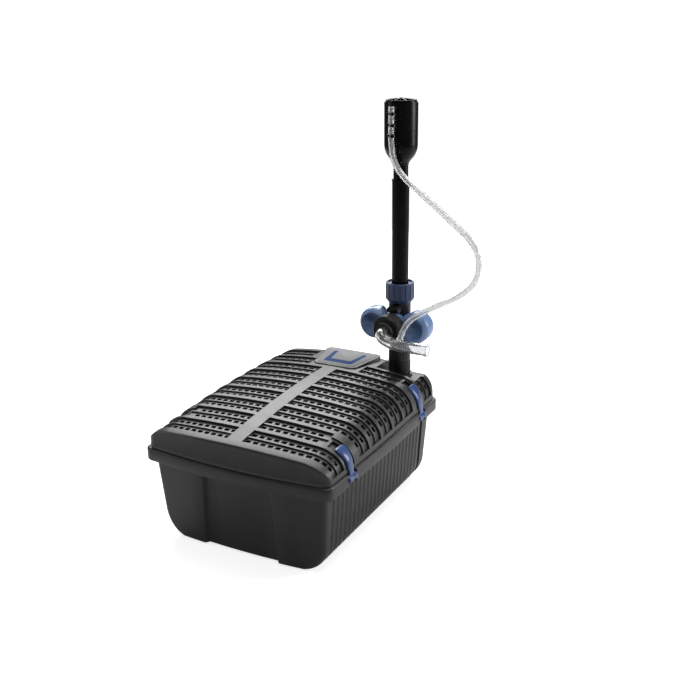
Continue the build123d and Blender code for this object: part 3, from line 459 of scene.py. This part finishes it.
def tube_mesh(name, line, radii, material):
    """A hollow tube that follows points in metres. radii is (outer, inner) in millimetres."""
    outer, inner = (r * MM for r in radii)
    turns = [2 * math.pi * s / HOSE_SEGMENTS for s in range(HOSE_SEGMENTS)]
    side = None
    frames = []
    for k, p in enumerate(line):
        along = (line[min(len(line) - 1, k + 1)] - line[max(0, k - 1)]).normalized()
        if side is None:
            side = along.orthogonal().normalized()
        else:
            side = (side - along * side.dot(along)).normalized()
        frames.append((p, side.copy(), along.cross(side)))

    def row(place, radius):
        p, u, v = place
        return [p + u * (radius * math.cos(a)) + v * (radius * math.sin(a)) for a in turns]

    rows = [row(place, outer) for place in frames] + [row(place, inner) for place in reversed(frames)]
    points = [tuple(c / MM for c in q) for r in rows for q in r]
    faces = ring_faces(len(rows), HOSE_SEGMENTS)
    last = (len(rows) - 1) * HOSE_SEGMENTS
    for s in range(HOSE_SEGMENTS):
        n = (s + 1) % HOSE_SEGMENTS
        faces.append((last + s, last + n, n, s))
    return mesh_piece(name, points, faces, material, smooth=50)


def make_air_hose():
    line = smooth_line(HOSE_ROUTE, "hose_line")
    hose = tube_mesh("air_hose_tube", line, (HOSE_D / 2, HOSE_D / 2 - HOSE_WALL), MATERIALS["clear_hose"])
    length = sum((b - a).length for a, b in zip(line, line[1:]))
    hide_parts("air_hose")
    tuple(line[0])
    [tuple(p) for p in line]
    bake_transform(hose)


# ---- lid ----
CREST_MID_Z = 193.4           # the lid's highest line, front to back
CREST_SLOPE = 0.0331
CREST_CURVE = 3.009e-4
CROWN_SLOPE = 0.1118          # how steeply the crown meets the shoulder
NORMAL_LIFT = 0.5             # keeps the normal at the shoulder's foot from lying level
SHOULDER_BOW = 0.9            # share of the rim's bow that the shoulder's foot takes up
LID_CORNER = 12.0
LID_LOW_Z = SEAM_Z + 0.5      # nothing of the skin goes below this

PLATFORM_Z = 177.0            # sunken flat for the riser socket, at the rear right
PLATFORM_Y = 137.0
PLATFORM_X = 58.0             # start of the ramp down to the flat, and its end
PLATFORM_END_X = 68.0
RAMP_Z = 192.0
RAMP_SLOPE = 1.5

BAY_FIRST = -156.5
BAY_PITCH = 38.86
BAY_COUNT = 9
BAY_FRONT = -15.3             # front wall of a bay, from the bay's middle
BAY_REAR = 16.6
BAY_RIB = (-0.6, 1.9)         # low rib between a bay's two rows of holes
BAY_DEPTH = 3.3
RIB_DEPTH = 1.1
BAY_START = 12.0
BAY_END = 110.0 + 0.955 * SHOULDER_LENGTH
CLIP_BAYS = (1, 7)            # bays that end at the clips' channels
BAY_STARTS = {7: {-1: 42.0, 1: 47.0}, 8: {-1: 58.0, 1: 126.0}}   # beside the label and the riser
HOLE_ROWS = ((-10.2, -4.2), (6.0, 12.0))
HOLE_PITCH = 11.5
HOLE_WIDTH = 7.8
HOLE_FIRST = 13.6
HOLE_EDGE = 1.0               # least land between a hole and the bay's end
LAST_ROW = 171.2              # rows beyond this bend round the lid's corners
EDGE_ROUND = 2.8              # rounding between the lid's top and its front and rear faces
EDGE_STEPS = (0.0, 0.3, 0.55, 0.76, 0.9, 0.97)
SHELL = 6.4
CHANNEL_DEPTH = 2.4           # channel under a clip's lever
CHANNEL_START = 114.0
CHANNEL_HALF = 12.0
FINGER = (118.0, 130.0)       # finger hole ahead of a clip's lever, across
FINGER_DEPTH = 6.2
FINGER_HALF = 8.0
SHOULDER_STEPS = 12
LEAST_STEP = 0.45             # grid lines closer than this are merged

# the lid's upright edge, its underside and the turn back up to the inner skin: (outwards, height)
FLANGE = (
    (0.0, LID_EDGE_Z - 0.4), (0.35, LID_EDGE_Z - 1.2), (0.35, SEAM_Z + 0.7),
    (0.0, SEAM_Z + 0.3), (-3.0, SEAM_Z + 0.3), (-6.0, LID_EDGE_Z - 1),
)


def crest_z(y):
    return CREST_MID_Z + CREST_SLOPE * y - CREST_CURVE * y * y


def edge_y(x):
    """Distance of the lid's bowed front or rear edge from the middle at x, without rounded corners."""
    return RIM_HALF_Y - LID_INSET + BOW_Y * (1 - (x / (RIM_HALF_X - LID_INSET)) ** 2)


def corner_edge_y(x):
    """The same edge with its rounded corners."""
    past = abs(x) - (RIM_HALF_X - LID_INSET - LID_CORNER)
    if past <= 0:
        return edge_y(x)
    return edge_y(x) - LID_CORNER + math.sqrt(max(0.0, LID_CORNER * LID_CORNER - past * past))


def lid_y(v, x):
    """Y of row v at x: the rows follow the bowed ends, and the last ones the rounded corners."""
    ratio = edge_y(x) / edge_y(0)
    if abs(v) <= LAST_ROW:
        return v * ratio
    low = LAST_ROW * ratio
    share = (abs(v) - LAST_ROW) / (edge_y(0) - LAST_ROW)
    return math.copysign(low + share * (corner_edge_y(x) - low), v)


def lid_point(s, v, depth=0.0):
    """A point of the lid's top, depth below the skin. s runs across, along the skin; v runs along Y."""
    side = -1.0 if s < 0 else 1.0
    across = abs(s)
    if across <= SHOULDER_X:
        x, a = across, 0.0
    else:
        a = min(1.0, (across - SHOULDER_X) / SHOULDER_LENGTH) * math.pi / 2
        x = SHOULDER_X + SHOULDER_REACH * math.sin(a)
    y = lid_y(v, x)
    if a == 0.0:
        z = crest_z(y) - CROWN * x * x
        normal = Vector((2 * CROWN * x, 0, 1)).normalized()
    else:
        drop = crest_z(y) - CROWN * SHOULDER_X**2 - LID_EDGE_Z
        z = LID_EDGE_Z + drop * math.cos(a) - CROWN_SLOPE * SHOULDER_REACH * math.sin(a) * math.cos(a) ** 2
        outward = math.sin(a) * drop + CROWN_SLOPE * SHOULDER_REACH * math.cos(a)
        normal = Vector((outward, 0, SHOULDER_REACH * math.cos(a) + NORMAL_LIFT)).normalized()
        x += BOW_X * (1 - (y / RIM_HALF_Y) ** 2) * (1 - math.cos(a)) * SHOULDER_BOW
    if side > 0 and y > PLATFORM_Y and x > PLATFORM_X:
        limit = max(PLATFORM_Z, RAMP_Z - RAMP_SLOPE * (x - PLATFORM_X))
        if z > limit:
            z = limit
            normal = Vector((0, 0, 1))
    past = abs(v) - (edge_y(0) - EDGE_ROUND)
    if past > 0:
        z -= EDGE_ROUND - math.sqrt(max(0.0, EDGE_ROUND**2 - past**2))
    return Vector((side * (x - normal.x * depth), y, max(z - normal.z * depth, LID_LOW_Z)))


def bay_span(bay, side):
    """Start and end of one bay across the lid."""
    start = BAY_STARTS.get(bay, {}).get(side, BAY_START)
    end = CHANNEL_START if bay in CLIP_BAYS else BAY_END
    return start, end


def clip_v(y):
    """Row coordinate of a clip's y on the shoulder."""
    return y * edge_y(0) / edge_y(135.0)


def lid_columns():
    """Grid lines across the lid, and the start and end of each hole on one side."""
    across = {0.0, SHOULDER_X, SHOULDER_X + SHOULDER_LENGTH, CHANNEL_START, *FINGER}
    across |= {PLATFORM_X, PLATFORM_END_X}
    across |= {x for bay in range(BAY_COUNT) for side in (-1, 1) for x in bay_span(bay, side)}
    across |= {SHOULDER_X + SHOULDER_LENGTH * k / SHOULDER_STEPS for k in range(1, SHOULDER_STEPS)}
    holes = []
    x = HOLE_FIRST
    while x + HOLE_WIDTH < BAY_END - 2.0:
        holes.append((x, x + HOLE_WIDTH))
        across |= {x, x + HOLE_WIDTH}
        x += HOLE_PITCH
    half = sorted(across)
    lines = [half[0]]
    for x in half[1:]:
        if x - lines[-1] > LEAST_STEP:
            lines.append(x)
    lines[-1] = SHOULDER_X + SHOULDER_LENGTH
    return [-x for x in reversed(lines[1:])] + lines, holes


def lid_rows():
    """Grid lines along the lid."""
    along = {-LAST_ROW, LAST_ROW, PLATFORM_Y - 0.1, PLATFORM_Y + 1.2}
    for bay in range(BAY_COUNT):
        m = BAY_FIRST + bay * BAY_PITCH
        along |= {m + BAY_FRONT, m + BAY_RIB[0], m + BAY_RIB[1], m + BAY_REAR}
        along |= {m + v for row in HOLE_ROWS for v in row}
    for y in CLIP_YS:
        along |= {clip_v(y + reach) for half in (CHANNEL_HALF, FINGER_HALF) for reach in (-half, half)}
    full = edge_y(0)
    for past in EDGE_STEPS:
        reach = full - EDGE_ROUND * (1 - past)
        along |= {-reach, reach}
    return sorted(along | {-full, full})


def cell_depth(s, v, holes):
    """Depth of the lid's skin at the middle of a cell, or None in a hole."""
    side = 1 if s > 0 else -1
    across = abs(s)
    for y in CLIP_YS:
        off = abs(v - clip_v(y))
        if off < CHANNEL_HALF + 0.3:
            if FINGER[0] < across < FINGER[1] and off < FINGER_HALF + 0.2:
                return FINGER_DEPTH
            if across > CHANNEL_START:
                return CHANNEL_DEPTH
    for bay in range(BAY_COUNT):
        m = BAY_FIRST + bay * BAY_PITCH
        if not m + BAY_FRONT < v < m + BAY_REAR:
            continue
        start, end = bay_span(bay, side)
        if not start < across < end:
            return 0.0
        if m + BAY_RIB[0] < v < m + BAY_RIB[1]:
            return RIB_DEPTH
        if any(m + low < v < m + high for low, high in HOLE_ROWS):
            for x0, x1 in holes:
                if x0 < across < x1 and x0 >= start + HOLE_EDGE and x1 <= end - HOLE_EDGE:
                    return None
        return BAY_DEPTH
    return 0.0


def make_lid():
    """The crowned lid: its skin with grooves and inlet holes, inner skin, end walls and edge flange."""
    s_lines, holes = lid_columns()
    v_lines = lid_rows()
    columns, rows = len(s_lines) - 1, len(v_lines) - 1
    points, faces, index = [], [], {}

    def at(i, j, depth):
        key = (i, j, round(depth, 3))
        if key not in index:
            index[key] = len(points)
            points.append(tuple(lid_point(s_lines[i], v_lines[j], depth)))
        return index[key]

    depth = {}
    for i in range(columns):
        for j in range(rows):
            s = (s_lines[i] + s_lines[i + 1]) / 2
            v = (v_lines[j] + v_lines[j + 1]) / 2
            depth[i, j] = cell_depth(s, v, holes)

    for i in range(columns):
        for j in range(rows):
            here = depth[i, j]
            if here is not None:
                for level in (here, SHELL):
                    corners = ((i, j), (i + 1, j), (i + 1, j + 1), (i, j + 1))
                    faces.append(tuple(at(*corner, level) for corner in corners))
            low = SHELL if here is None else here
            for other in ((i + 1, j), (i, j + 1)):
                if other not in depth:
                    continue
                there = SHELL if depth[other] is None else depth[other]
                if abs(there - low) > 1e-6:
                    a, b = other, (i + 1, j + 1)
                    faces.append((at(*a, low), at(*b, low), at(*b, there), at(*a, there)))

    border = [(i, 0) for i in range(columns + 1)] + [(columns, j) for j in range(1, rows + 1)]
    border += [(i, rows) for i in reversed(range(columns))] + [(0, j) for j in reversed(range(1, rows))]
    count = len(border)
    skins = [[at(i, j, level) for i, j in border] for level in (0.0, SHELL)]

    def moved(k, spread, z):
        """Border point k moved outwards by spread, at height z."""
        p = points[skins[0][k]]
        before = points[skins[0][(k - 1) % count]]
        after = points[skins[0][(k + 1) % count]]
        along = Vector((after[0] - before[0], after[1] - before[1])).normalized()
        return (p[0] + along.y * spread, p[1] - along.x * spread, z)

    chain = [skins[0]]
    for spread, z in FLANGE:
        chain.append([len(points) + k for k in range(count)])
        points.extend(moved(k, spread, z) for k in range(count))
    chain.append(skins[1])
    for upper, lower in zip(chain, chain[1:]):
        for k in range(count):
            n = (k + 1) % count
            faces.append((upper[k], lower[k], lower[n], upper[n]))
    lid = mesh_piece("lid_cover", points, faces, MATERIALS["lid_black"], smooth=28)
    settle(lid, "lid", "lid_black", "lid_shell")


# ---- tub ----
RIM_LOW_Z = 121.0
RIM_CORNER = 12.0
RIM_LIP = 9.0                 # how far the rim stands out from the walls
MOUTH_INSET = 12.0            # the tub's mouth inside the rim
MOUTH_CORNER = 8.0
CORNER_Z = 44.0               # top of the rounded bottom corner
BOTTOM_X = 101.0
BOTTOM_Z = 2.0
WALL = 3.0
WALL_TOP_X = RIM_HALF_X - RIM_LIP
WALL_LOW_X = WALL_TOP_X - 7.0
WALL_CORNER = 8.0
INNER_CORNER = 6.0
END_TAPER = 8.5               # how much further in an end wall is at the bottom
WALL_ZS = (58.0, 74.0, 90.0, 106.0, 114.0, 117.0, 119.0, RIM_LOW_Z)
PANEL_TOP_X = 52.0            # half width of the recessed end panel under the rim
PANEL_LOW_X = 60.0            # and at the bottom
PANEL_SLOPE = 3.0             # half width of the slope beside the panel
PANEL_DEPTH = 6.0
RIB_YS = [-147.0 + 13.0 * k for k in range(22)]
RIB_HALF = 2.8
RIB_HEIGHT = 1.4
RIB_FOOT_Z = 12.0             # ribs and groove fade in over the next RIB_FADE
RIB_FADE = 22.0
GROOVE_Y = 140.0
GROOVE_HALF = 3.5
GROOVE_DEPTH = 3.2
GROOVE_FADE = 4.0             # the groove fades out over this height under the rim
NOTCH_HALF = 11.5             # notches in the rim for the clips
NOTCH_X = 143.0
SIDE_YS_BETWEEN = {-152.0, 132.0, 152.0}   # samples of a side away from its features
LEAST_SIDE_STEP = 0.06

# the rim and the mouth's lip: (height, inset from the rim's outline, corner)
RIM_PROFILE = (
    (RIM_LOW_Z, 1.6, RIM_CORNER), (RIM_LOW_Z + 0.5, 0.5, RIM_CORNER), (RIM_LOW_Z + 1.6, 0.0, RIM_CORNER),
    (SEAM_Z - 2.0, 0.0, RIM_CORNER), (SEAM_Z - 0.9, 0.5, RIM_CORNER), (SEAM_Z - 0.3, 1.3, RIM_CORNER),
    (SEAM_Z, 2.4, RIM_CORNER),
    (SEAM_Z, MOUTH_INSET, MOUTH_CORNER), (SEAM_Z - 8.0, MOUTH_INSET, MOUTH_CORNER),
)


def side_rows():
    """Y of every sample along a side: ribs, corner groove and clip notches."""
    found = set(SIDE_YS_BETWEEN)
    for y in RIB_YS:
        found |= {y + share * RIB_HALF for share in (-1, -0.5, 0, 0.5, 1)}
    found |= {GROOVE_Y + side * reach for side in (-1, 1) for reach in (GROOVE_HALF, GROOVE_HALF + 1.0)}
    for y in CLIP_YS:
        found |= {y + side * reach for side in (-1, 1) for reach in (NOTCH_HALF, NOTCH_HALF + 0.1)}
    rows = sorted(found)
    return [y for y, after in zip(rows, rows[1:] + [999.0]) if after - y > LEAST_SIDE_STEP]


SIDE_YS = side_rows()


def wall_x(z):
    """Half width of the tub's straight wall at height z."""
    return WALL_LOW_X + (WALL_TOP_X - WALL_LOW_X) * (z - CORNER_Z) / (SEAM_Z - CORNER_Z)


def panel_x(z):
    return PANEL_LOW_X + (PANEL_TOP_X - PANEL_LOW_X) * min(1.0, z / RIM_LOW_Z)


def end_columns(z):
    """Samples across an end wall at height z."""
    slope = [panel_x(z) + share * PANEL_SLOPE for share in (-1, -0.6, 0, 0.6, 1)]
    half = [15.0, 32.0] + slope + [80.0, 88.0]
    return [-x for x in reversed(half)] + [0.0] + half


def plan_loop(z, side_x, end_y, corner):
    """A loop round the tub at height z: right side, rear end, left side, front end."""
    cx = side_x(SIDE_YS[-1]) - corner
    cy = end_y(cx) - corner
    quarter = [math.pi / 2 * k / 5 for k in range(6)]
    columns = end_columns(z)
    right = [(side_x(y), y) for y in SIDE_YS]
    rear_right = [(cx + corner * math.cos(a), cy + corner * math.sin(a)) for a in quarter]
    rear = [(x, end_y(x)) for x in reversed(columns)]
    rear_left = [(-x, y) for x, y in reversed(rear_right)]
    left = [(-x, y) for x, y in reversed(right)]
    front_left = [(-x, -y) for x, y in rear_right]
    front = [(x, -end_y(x)) for x in columns]
    front_right = [(x, -y) for x, y in reversed(rear_right)]
    loop = right + rear_right + rear + rear_left + left + front_left + front + front_right
    return [(x, y, z) for x, y in loop]


def wall_loop(x_wall, z, inset=0.0, plain=False):
    """The tub's wall at height z, with its ribs, groove and panels unless plain."""
    low = clamped((z - RIB_FOOT_Z) / RIB_FADE)
    high = clamped((RIM_LOW_Z + 1.0 - z) / GROOVE_FADE)

    def side_x(y):
        x = x_wall - inset
        if plain:
            return x
        for rib in RIB_YS:
            if abs(y - rib) < RIB_HALF:
                x += RIB_HEIGHT * low * math.cos(math.pi / 2 * (y - rib) / RIB_HALF) ** 2
        if abs(y - GROOVE_Y) <= GROOVE_HALF + 0.1:
            x -= GROOVE_DEPTH * low * high
        return x

    def end_y(x):
        y = RIM_HALF_Y - RIM_LIP + BOW_Y - END_TAPER * (1 - z / SEAM_Z)
        y = y - BOW_Y * (x / RIM_HALF_X) ** 2 - inset
        if not plain:
            share = clamped(0.5 - 0.5 * ((abs(x) - panel_x(z)) / PANEL_SLOPE))
            y -= PANEL_DEPTH * share * share * (3 - 2 * share)
        return y

    return plan_loop(z, side_x, end_y, INNER_CORNER if plain else WALL_CORNER)


def rim_loop(z, inset, corner):
    """The rim's outline at height z, moved in by inset, with the clips' notches."""
    def side_x(y):
        x = RIM_HALF_X - inset + BOW_X * (1 - (y / RIM_HALF_Y) ** 2)
        if any(abs(y - clip) < NOTCH_HALF + 0.05 for clip in CLIP_YS):
            x = min(x, NOTCH_X)
        return x

    def end_y(x):
        return RIM_HALF_Y - inset + BOW_Y * (1 - (x / (RIM_HALF_X - inset)) ** 2)

    return plan_loop(z, side_x, end_y, corner)


def corner_profile(inset):
    """Half width and height of the tub's rounded bottom corner, from the floor up."""
    turns = [math.pi / 2 * k / 9 for k in range(10)]
    wide = WALL_LOW_X - BOTTOM_X
    tall = CORNER_Z - BOTTOM_Z - inset
    return [(BOTTOM_X - inset + wide * math.sin(a), CORNER_Z - tall * math.cos(a)) for a in turns]


def make_tub():
    """The tapered tub: ribbed sides, recessed end panels, rim with clip notches, and inner walls."""
    loops = [wall_loop(BOTTOM_X - 1.2, BOTTOM_Z, 1.2)]
    loops += [wall_loop(x, z) for x, z in corner_profile(0.0)[1:]]
    loops += [wall_loop(wall_x(z), z) for z in WALL_ZS]
    loops += [rim_loop(*ring) for ring in RIM_PROFILE]
    inner = WALL + PANEL_DEPTH
    loops += [wall_loop(wall_x(z) - WALL + inner, z, inner, plain=True) for z in (RIM_LOW_Z + 9.0, 90.0)]
    loops += [wall_loop(x + inner, z, inner, plain=True) for x, z in reversed(corner_profile(WALL))]
    tub = stacked("tub_shell", loops, MATERIALS["tub_black"], 32)
    settle(tub, "tub", "tub_black", "base_tub")


GLAND_X = -70.0
GLAND_Z = 96.0
BOSS = ((8.0, 166.0), (14.0, 166.0), (14.0, 175.3), (12.8, 176.5), (8.0, 176.5))   # (radius, y)


def make_gland_boss():
    """Flat boss round the cable gland on the rear wall."""
    points, faces = lathe(BOSS, (0.0, 0.0), 48)
    points = [(GLAND_X + p[0], p[2], GLAND_Z + p[1]) for p in points]
    boss = mesh_piece("gland_boss", points, faces, MATERIALS["tub_black"])
    settle(boss, "tub", "tub_black")


# ---- clips ----
CLIP_LIFT = 0.8               # the lever above its channel's floor
CLIP_THICK = 4.4
LEVER_START = {1: 33.0, -1: 62.0}          # degrees round the shoulder, on the right and on the left
LEVER_END = 88.0
# stations down the lever: (share of its length, half width)
LEVER = ((0.0, 8.6), (0.055, 10.2), (0.22, 10.4), (0.42, 9.6), (0.62, 8.4), (0.82, 7.4), (1.0, 6.8))
# and down to the knuckle: (under side, outer side, half width)
LEVER_FOOT = (((148.2, 141.0), (151.6, 141.4), 5.6), ((147.6, 134.0), (151.4, 134.4), 5.6))
LEVER_TIP = 0.55              # thickness of the lever's tip, as a share
# half of the lever's section: (across, share of its thickness)
LEVER_RING = [(-0.92, 0.0), (0.92, 0.0), (1.0, 0.3), (1.0, 0.6), (0.86, 0.86), (0.5, 0.97), (0.0, 1.0)]
KNUCKLE_R = 5.6
KNUCKLE = [(2.1, -11.0), (4.6, -11.0), (5.3, -10.3), (KNUCKLE_R, -8.5), (KNUCKLE_R, -3.2), (4.9, -2.4)]

# place, side, y, body
CLIPS = (
    ("front_right", 1, CLIP_YS[0], "clip_fr"),
    ("front_left", -1, CLIP_YS[0], "clip_fl"),
    ("rear_right", 1, CLIP_YS[1], "clip_rr"),
    ("rear_left", -1, CLIP_YS[1], "clip_rl"),
)


def make_clip(place, side, y, body):
    """A crowned lever over the lid's shoulder that ends in a knuckle on the rim's pin."""
    depth = CHANNEL_DEPTH - CLIP_LIFT
    v = clip_v(y)
    stations = []
    first = LEVER_START[side]
    for share, half in LEVER:
        s = SHOULDER_X + SHOULDER_LENGTH * (first + (LEVER_END - first) * share) / 90
        under = lid_point(s, v, depth)
        over = lid_point(s, v, depth - CLIP_THICK)
        if share == 0.0:
            over = under.lerp(over, LEVER_TIP)
        stations.append(((under.x, under.z), (over.x, over.z), half))
    stations += LEVER_FOOT
    ring = LEVER_RING + [(-x, t) for x, t in reversed(LEVER_RING[2:6])]
    points = []
    for (ux, uz), (ox, oz), half in stations:
        for across, share in ring:
            points.append((side * (ux + (ox - ux) * share), y + across * half, uz + (oz - uz) * share))
    count = len(ring)
    faces = ring_faces(len(stations), count)
    faces.append(tuple(range(count)))
    faces.append(tuple(reversed(range((len(stations) - 1) * count, len(stations) * count))))
    barrel = KNUCKLE + [(r, -h) for r, h in reversed(KNUCKLE)]
    found, knuckle = lathe(barrel, (0.0, 0.0), 32)
    faces += shifted(knuckle, len(points))
    points += [(side * (CLIP_PIVOT[0] + p[0]), y + p[2], CLIP_PIVOT[1] + p[1]) for p in found]
    clip = mesh_piece(f"clip_lever_{place}", points, faces, MATERIALS["clip_blue"], smooth=38)
    settle(clip, body, "clip_blue", f"clip_{place}")


# ---- label ----
# name, half width and y at the front, the same at the rear, corner radius, low z, high z, edge, slot,
# CAD nodes
LABEL = (
    ("label_pad", (37.6, 103.4), (51.6, 182.6), 13.0, 184.0, 195.1, 1.6, "lid_black", ()),
    ("label_face", (33.6, 107.6), (47.6, 178.6), 10.0, 194.6, 195.7, 0.4, "label_white", ("label_plate",)),
    ("label_band", (25.0, 117.0), (30.0, 166.0), 4.0, 195.2, 195.9, 0.15, "label_blue", ("label_inlay",)),
    ("label_field", (18.0, 130.0), (24.0, 168.5), 3.0, 195.3, 196.0, 0.15, "label_white", ()),
)


def rounded_outline(corners, radius, steps=6):
    """Corner points rounded with arcs drawn as quadratic curves."""
    found = []
    count = len(corners)
    for k, corner in enumerate(corners):
        here = Vector(corner)
        before = (Vector(corners[k - 1]) - here).normalized()
        after = (Vector(corners[(k + 1) % count]) - here).normalized()
        start, end = here + before * radius, here + after * radius
        for n in range(steps + 1):
            t = n / steps
            found.append(start.lerp(here, t).lerp(here.lerp(end, t), t))
    return found


def plate(name, front, rear, radius, z0, z1, edge, slot, nodes):
    """A flat four-sided plate on the lid with rounded corners and an eased top edge."""
    corners = [(-front[0], front[1]), front, rear, (-rear[0], rear[1])]
    middle = sum((Vector(c) for c in corners), Vector((0, 0))) / len(corners)
    loops = []
    for shrink, z in ((0.0, z0), (0.0, z1 - edge), (0.35 * edge, z1 - 0.35 * edge), (edge, z1)):
        loop = []
        for p in rounded_outline(corners, radius):
            q = p + (middle - p).normalized() * shrink
            loop.append((q.x, q.y, z))
        loops.append(loop)
    settle(stacked(name, loops, MATERIALS[slot], 35), "lid", slot, *nodes)


def make_label():
    """Raised pad, white plate, blue U-shaped band and a pale field, with no lettering."""
    for layer in LABEL:
        plate(*layer)


# ---- regulator ----
LOBE_X = 34.0                 # from the riser's axis
WING_CLEAR = 19.7             # clearance beside the riser over the wing's turn, and its growth with height
WING_CLEAR_SLOPE = 0.364
WING_BACK_Y = 139.4           # behind this the lobes are cut back to that clearance
WING_SEGMENTS = 72
# profiles as (radius, y), from the front face to the back
LOBE = (
    (0.0, 136.5), (5.0, 136.0), (11.0, 133.2), (15.6, 129.6), (17.2, 128.4), (18.6, 128.0), (20.2, 128.8),
    (24.4, 134.6), (25.0, 137.0), (25.0, 153.0), (24.0, 158.5), (21.0, 162.6), (16.0, 164.6), (0.0, 165.0),
)
HUB = ((16.1, 128.3), (21.0, 128.3), (21.5, 128.8), (21.5, 138.8), (21.0, 139.3), (16.1, 139.3))


def make_regulator():
    """Two dished lobes with sloping faces on a hub, clear of the riser over their whole turn."""
    points, faces = [], []
    for side in (-1, 1):
        found, rings = lathe(LOBE, (0.0, 0.0), WING_SEGMENTS)
        faces += shifted(rings[:-WING_SEGMENTS], len(points))
        for p in found:
            x, y, dz = side * (LOBE_X + side * p[0]), p[2], p[1]
            if y > WING_BACK_Y:
                x = max(side * x, WING_CLEAR + WING_CLEAR_SLOPE * abs(dz)) * side
            points.append((RISER[0] + x, y, OUTLET_Z + dz))
    found, rings = lathe(HUB, (0.0, 0.0), WING_SEGMENTS)
    faces += shifted(rings, len(points))
    points += [(RISER[0] + p[0], p[2], OUTLET_Z + p[1]) for p in found]
    wing = mesh_piece("regulator_lobes", points, faces, MATERIALS["regulator_blue"], smooth=40)
    settle(wing, "regulator", "regulator_blue", "regulator_wing")


# ---- nozzle cap ----
CAP_LOW_Z = 602.0
CAP_TOP_Z = 607.9
CAP_R = 23.2
SPOKES = 6
SPOKE_TURN = 20               # degrees from +X to the first spoke
SPOKE_HALF = 1.1
SPOKE_STEPS = 8
CAP_RING = (
    (20.2, CAP_LOW_Z - 6.0), (22.7, CAP_LOW_Z - 6.0), (22.7, CAP_LOW_Z), (CAP_R, CAP_LOW_Z),
    (CAP_R, CAP_LOW_Z + 2.2), (22.4, CAP_LOW_Z + 3.2), (20.9, CAP_LOW_Z + 3.2), (20.2, CAP_LOW_Z + 2.4),
)
CAP_HUB = (
    (0.4, CAP_TOP_Z - 2.6), (3.2, CAP_TOP_Z - 2.6), (3.2, CAP_TOP_Z - 0.6),
    (2.4, CAP_TOP_Z), (0.4, CAP_TOP_Z),
)


def make_nozzle_cap():
    """The cap's ring with six spokes that arch up to a small hub."""
    points, faces = lathe(CAP_RING, RISER, 72)
    found, more = lathe(CAP_HUB, RISER, 24)
    faces += shifted(more, len(points))
    points += found
    for spoke in range(SPOKES):
        turn = math.radians(SPOKE_TURN + 360 // SPOKES * spoke)
        along = Vector((math.cos(turn), math.sin(turn)))
        across = Vector((-along.y, along.x)) * SPOKE_HALF
        spoke_faces = ring_faces(SPOKE_STEPS + 1, 5)
        spoke_faces.append(tuple(reversed(range(5))))
        spoke_faces.append(tuple(SPOKE_STEPS * 5 + k for k in range(5)))
        faces += shifted(spoke_faces, len(points))
        for k in range(SPOKE_STEPS + 1):
            reach = 1.5 + (CAP_R - 3.5) * k / SPOKE_STEPS
            rise = (CAP_TOP_Z - CAP_LOW_Z - 2.9) * math.cos(math.pi / 2 * k / SPOKE_STEPS)
            top = CAP_LOW_Z + 2.6 + rise
            for shift, z in ((-1, top - 2.0), (1, top - 2.0), (1, top - 0.4), (0, top), (-1, top - 0.4)):
                p = along * reach + across * shift
                points.append((RISER[0] + p.x, RISER[1] + p.y, z))
    cap = mesh_piece("nozzle_spokes", points, faces, MATERIALS["nozzle_black"], smooth=35)
    settle(cap, "telescope", "nozzle_black", "nozzle_cap")


# ---- foams ----
FOAM_EDGE = 2.0               # height over which a block's top and bottom edges are eased
FOAM_SWELL = 0.5              # unevenness of its faces
FOAM_CORNER = 5.0
FOAM_GIVE = 0.6               # share of the easing and swell that is used


def foam_side(corners):
    """The block's outline with long sides split into short steps."""
    outline = [(p.x, p.y) for p in rounded_outline(corners, FOAM_CORNER, 5)]
    dense = []
    for a, b in zip(outline, outline[1:] + outline[:1]):
        steps = 24 if abs(a[0] - b[0]) > 60 else (6 if abs(a[1] - b[1]) > 20 else 1)
        for n in range(steps):
            dense.append((a[0] + (b[0] - a[0]) * n / steps, a[1] + (b[1] - a[1]) * n / steps))
    return dense


def make_foam(name, node, slot):
    """A soft foam block with eased edges and slightly uneven faces, in the room of its CAD solid."""
    low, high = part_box(node)
    x1, y0, y1 = high[0] / MM - 0.8, low[1] / MM + 0.6, high[1] / MM - 0.6
    z0, z1 = low[2] / MM + 0.4, high[2] / MM - 0.4
    middle = (y0 + y1) / 2
    profile = corner_profile(WALL)
    heights = [z0, z0 + 0.6, z0 + 2.0]
    heights += [z0 + 4.0 + (z1 - z0 - 8.0) * k / 14 for k in range(15)]
    heights += [z1 - 2.0, z1 - 0.6, z1]
    loops = []
    for z in heights:
        half = x1
        for (xa, za), (xb, zb) in zip(profile, profile[1:]):
            if za <= z <= zb:
                half = min(half, xa + (xb - xa) * (z - za) / (zb - za) - 1.2)
        ease = max(0.0, FOAM_EDGE - (z - z0)) + max(0.0, FOAM_EDGE - (z1 - z))
        ring = []
        for x, y in foam_side([(-half, y0), (half, y0), (half, y1), (-half, y1)]):
            swell = FOAM_SWELL * math.sin(0.11 * x + 0.05 * z) * math.sin(0.16 * z + 0.07 * x)
            shrink = ease + FOAM_SWELL + swell
            inward = math.copysign(min(shrink, abs(x)), x) * FOAM_GIVE
            ring.append((x - inward, y + math.copysign(shrink * FOAM_GIVE, middle - y), z))
        loops.append(ring)
    foam = stacked(name, loops, MATERIALS[slot], 50)
    settle(foam, "tub", slot, node)


# ---- assembly ----
make_camera()
make_studio()
dress_cad_nodes()
make_air_hose()
make_tub()
make_gland_boss()
make_lid()
make_label()
for clip in CLIPS:
    make_clip(*clip)
make_regulator()
make_nozzle_cap()
make_foam("coarse_foam_block", "coarse_foam", "foam_blue")
make_foam("fine_foam_block", "fine_foam", "foam_red")
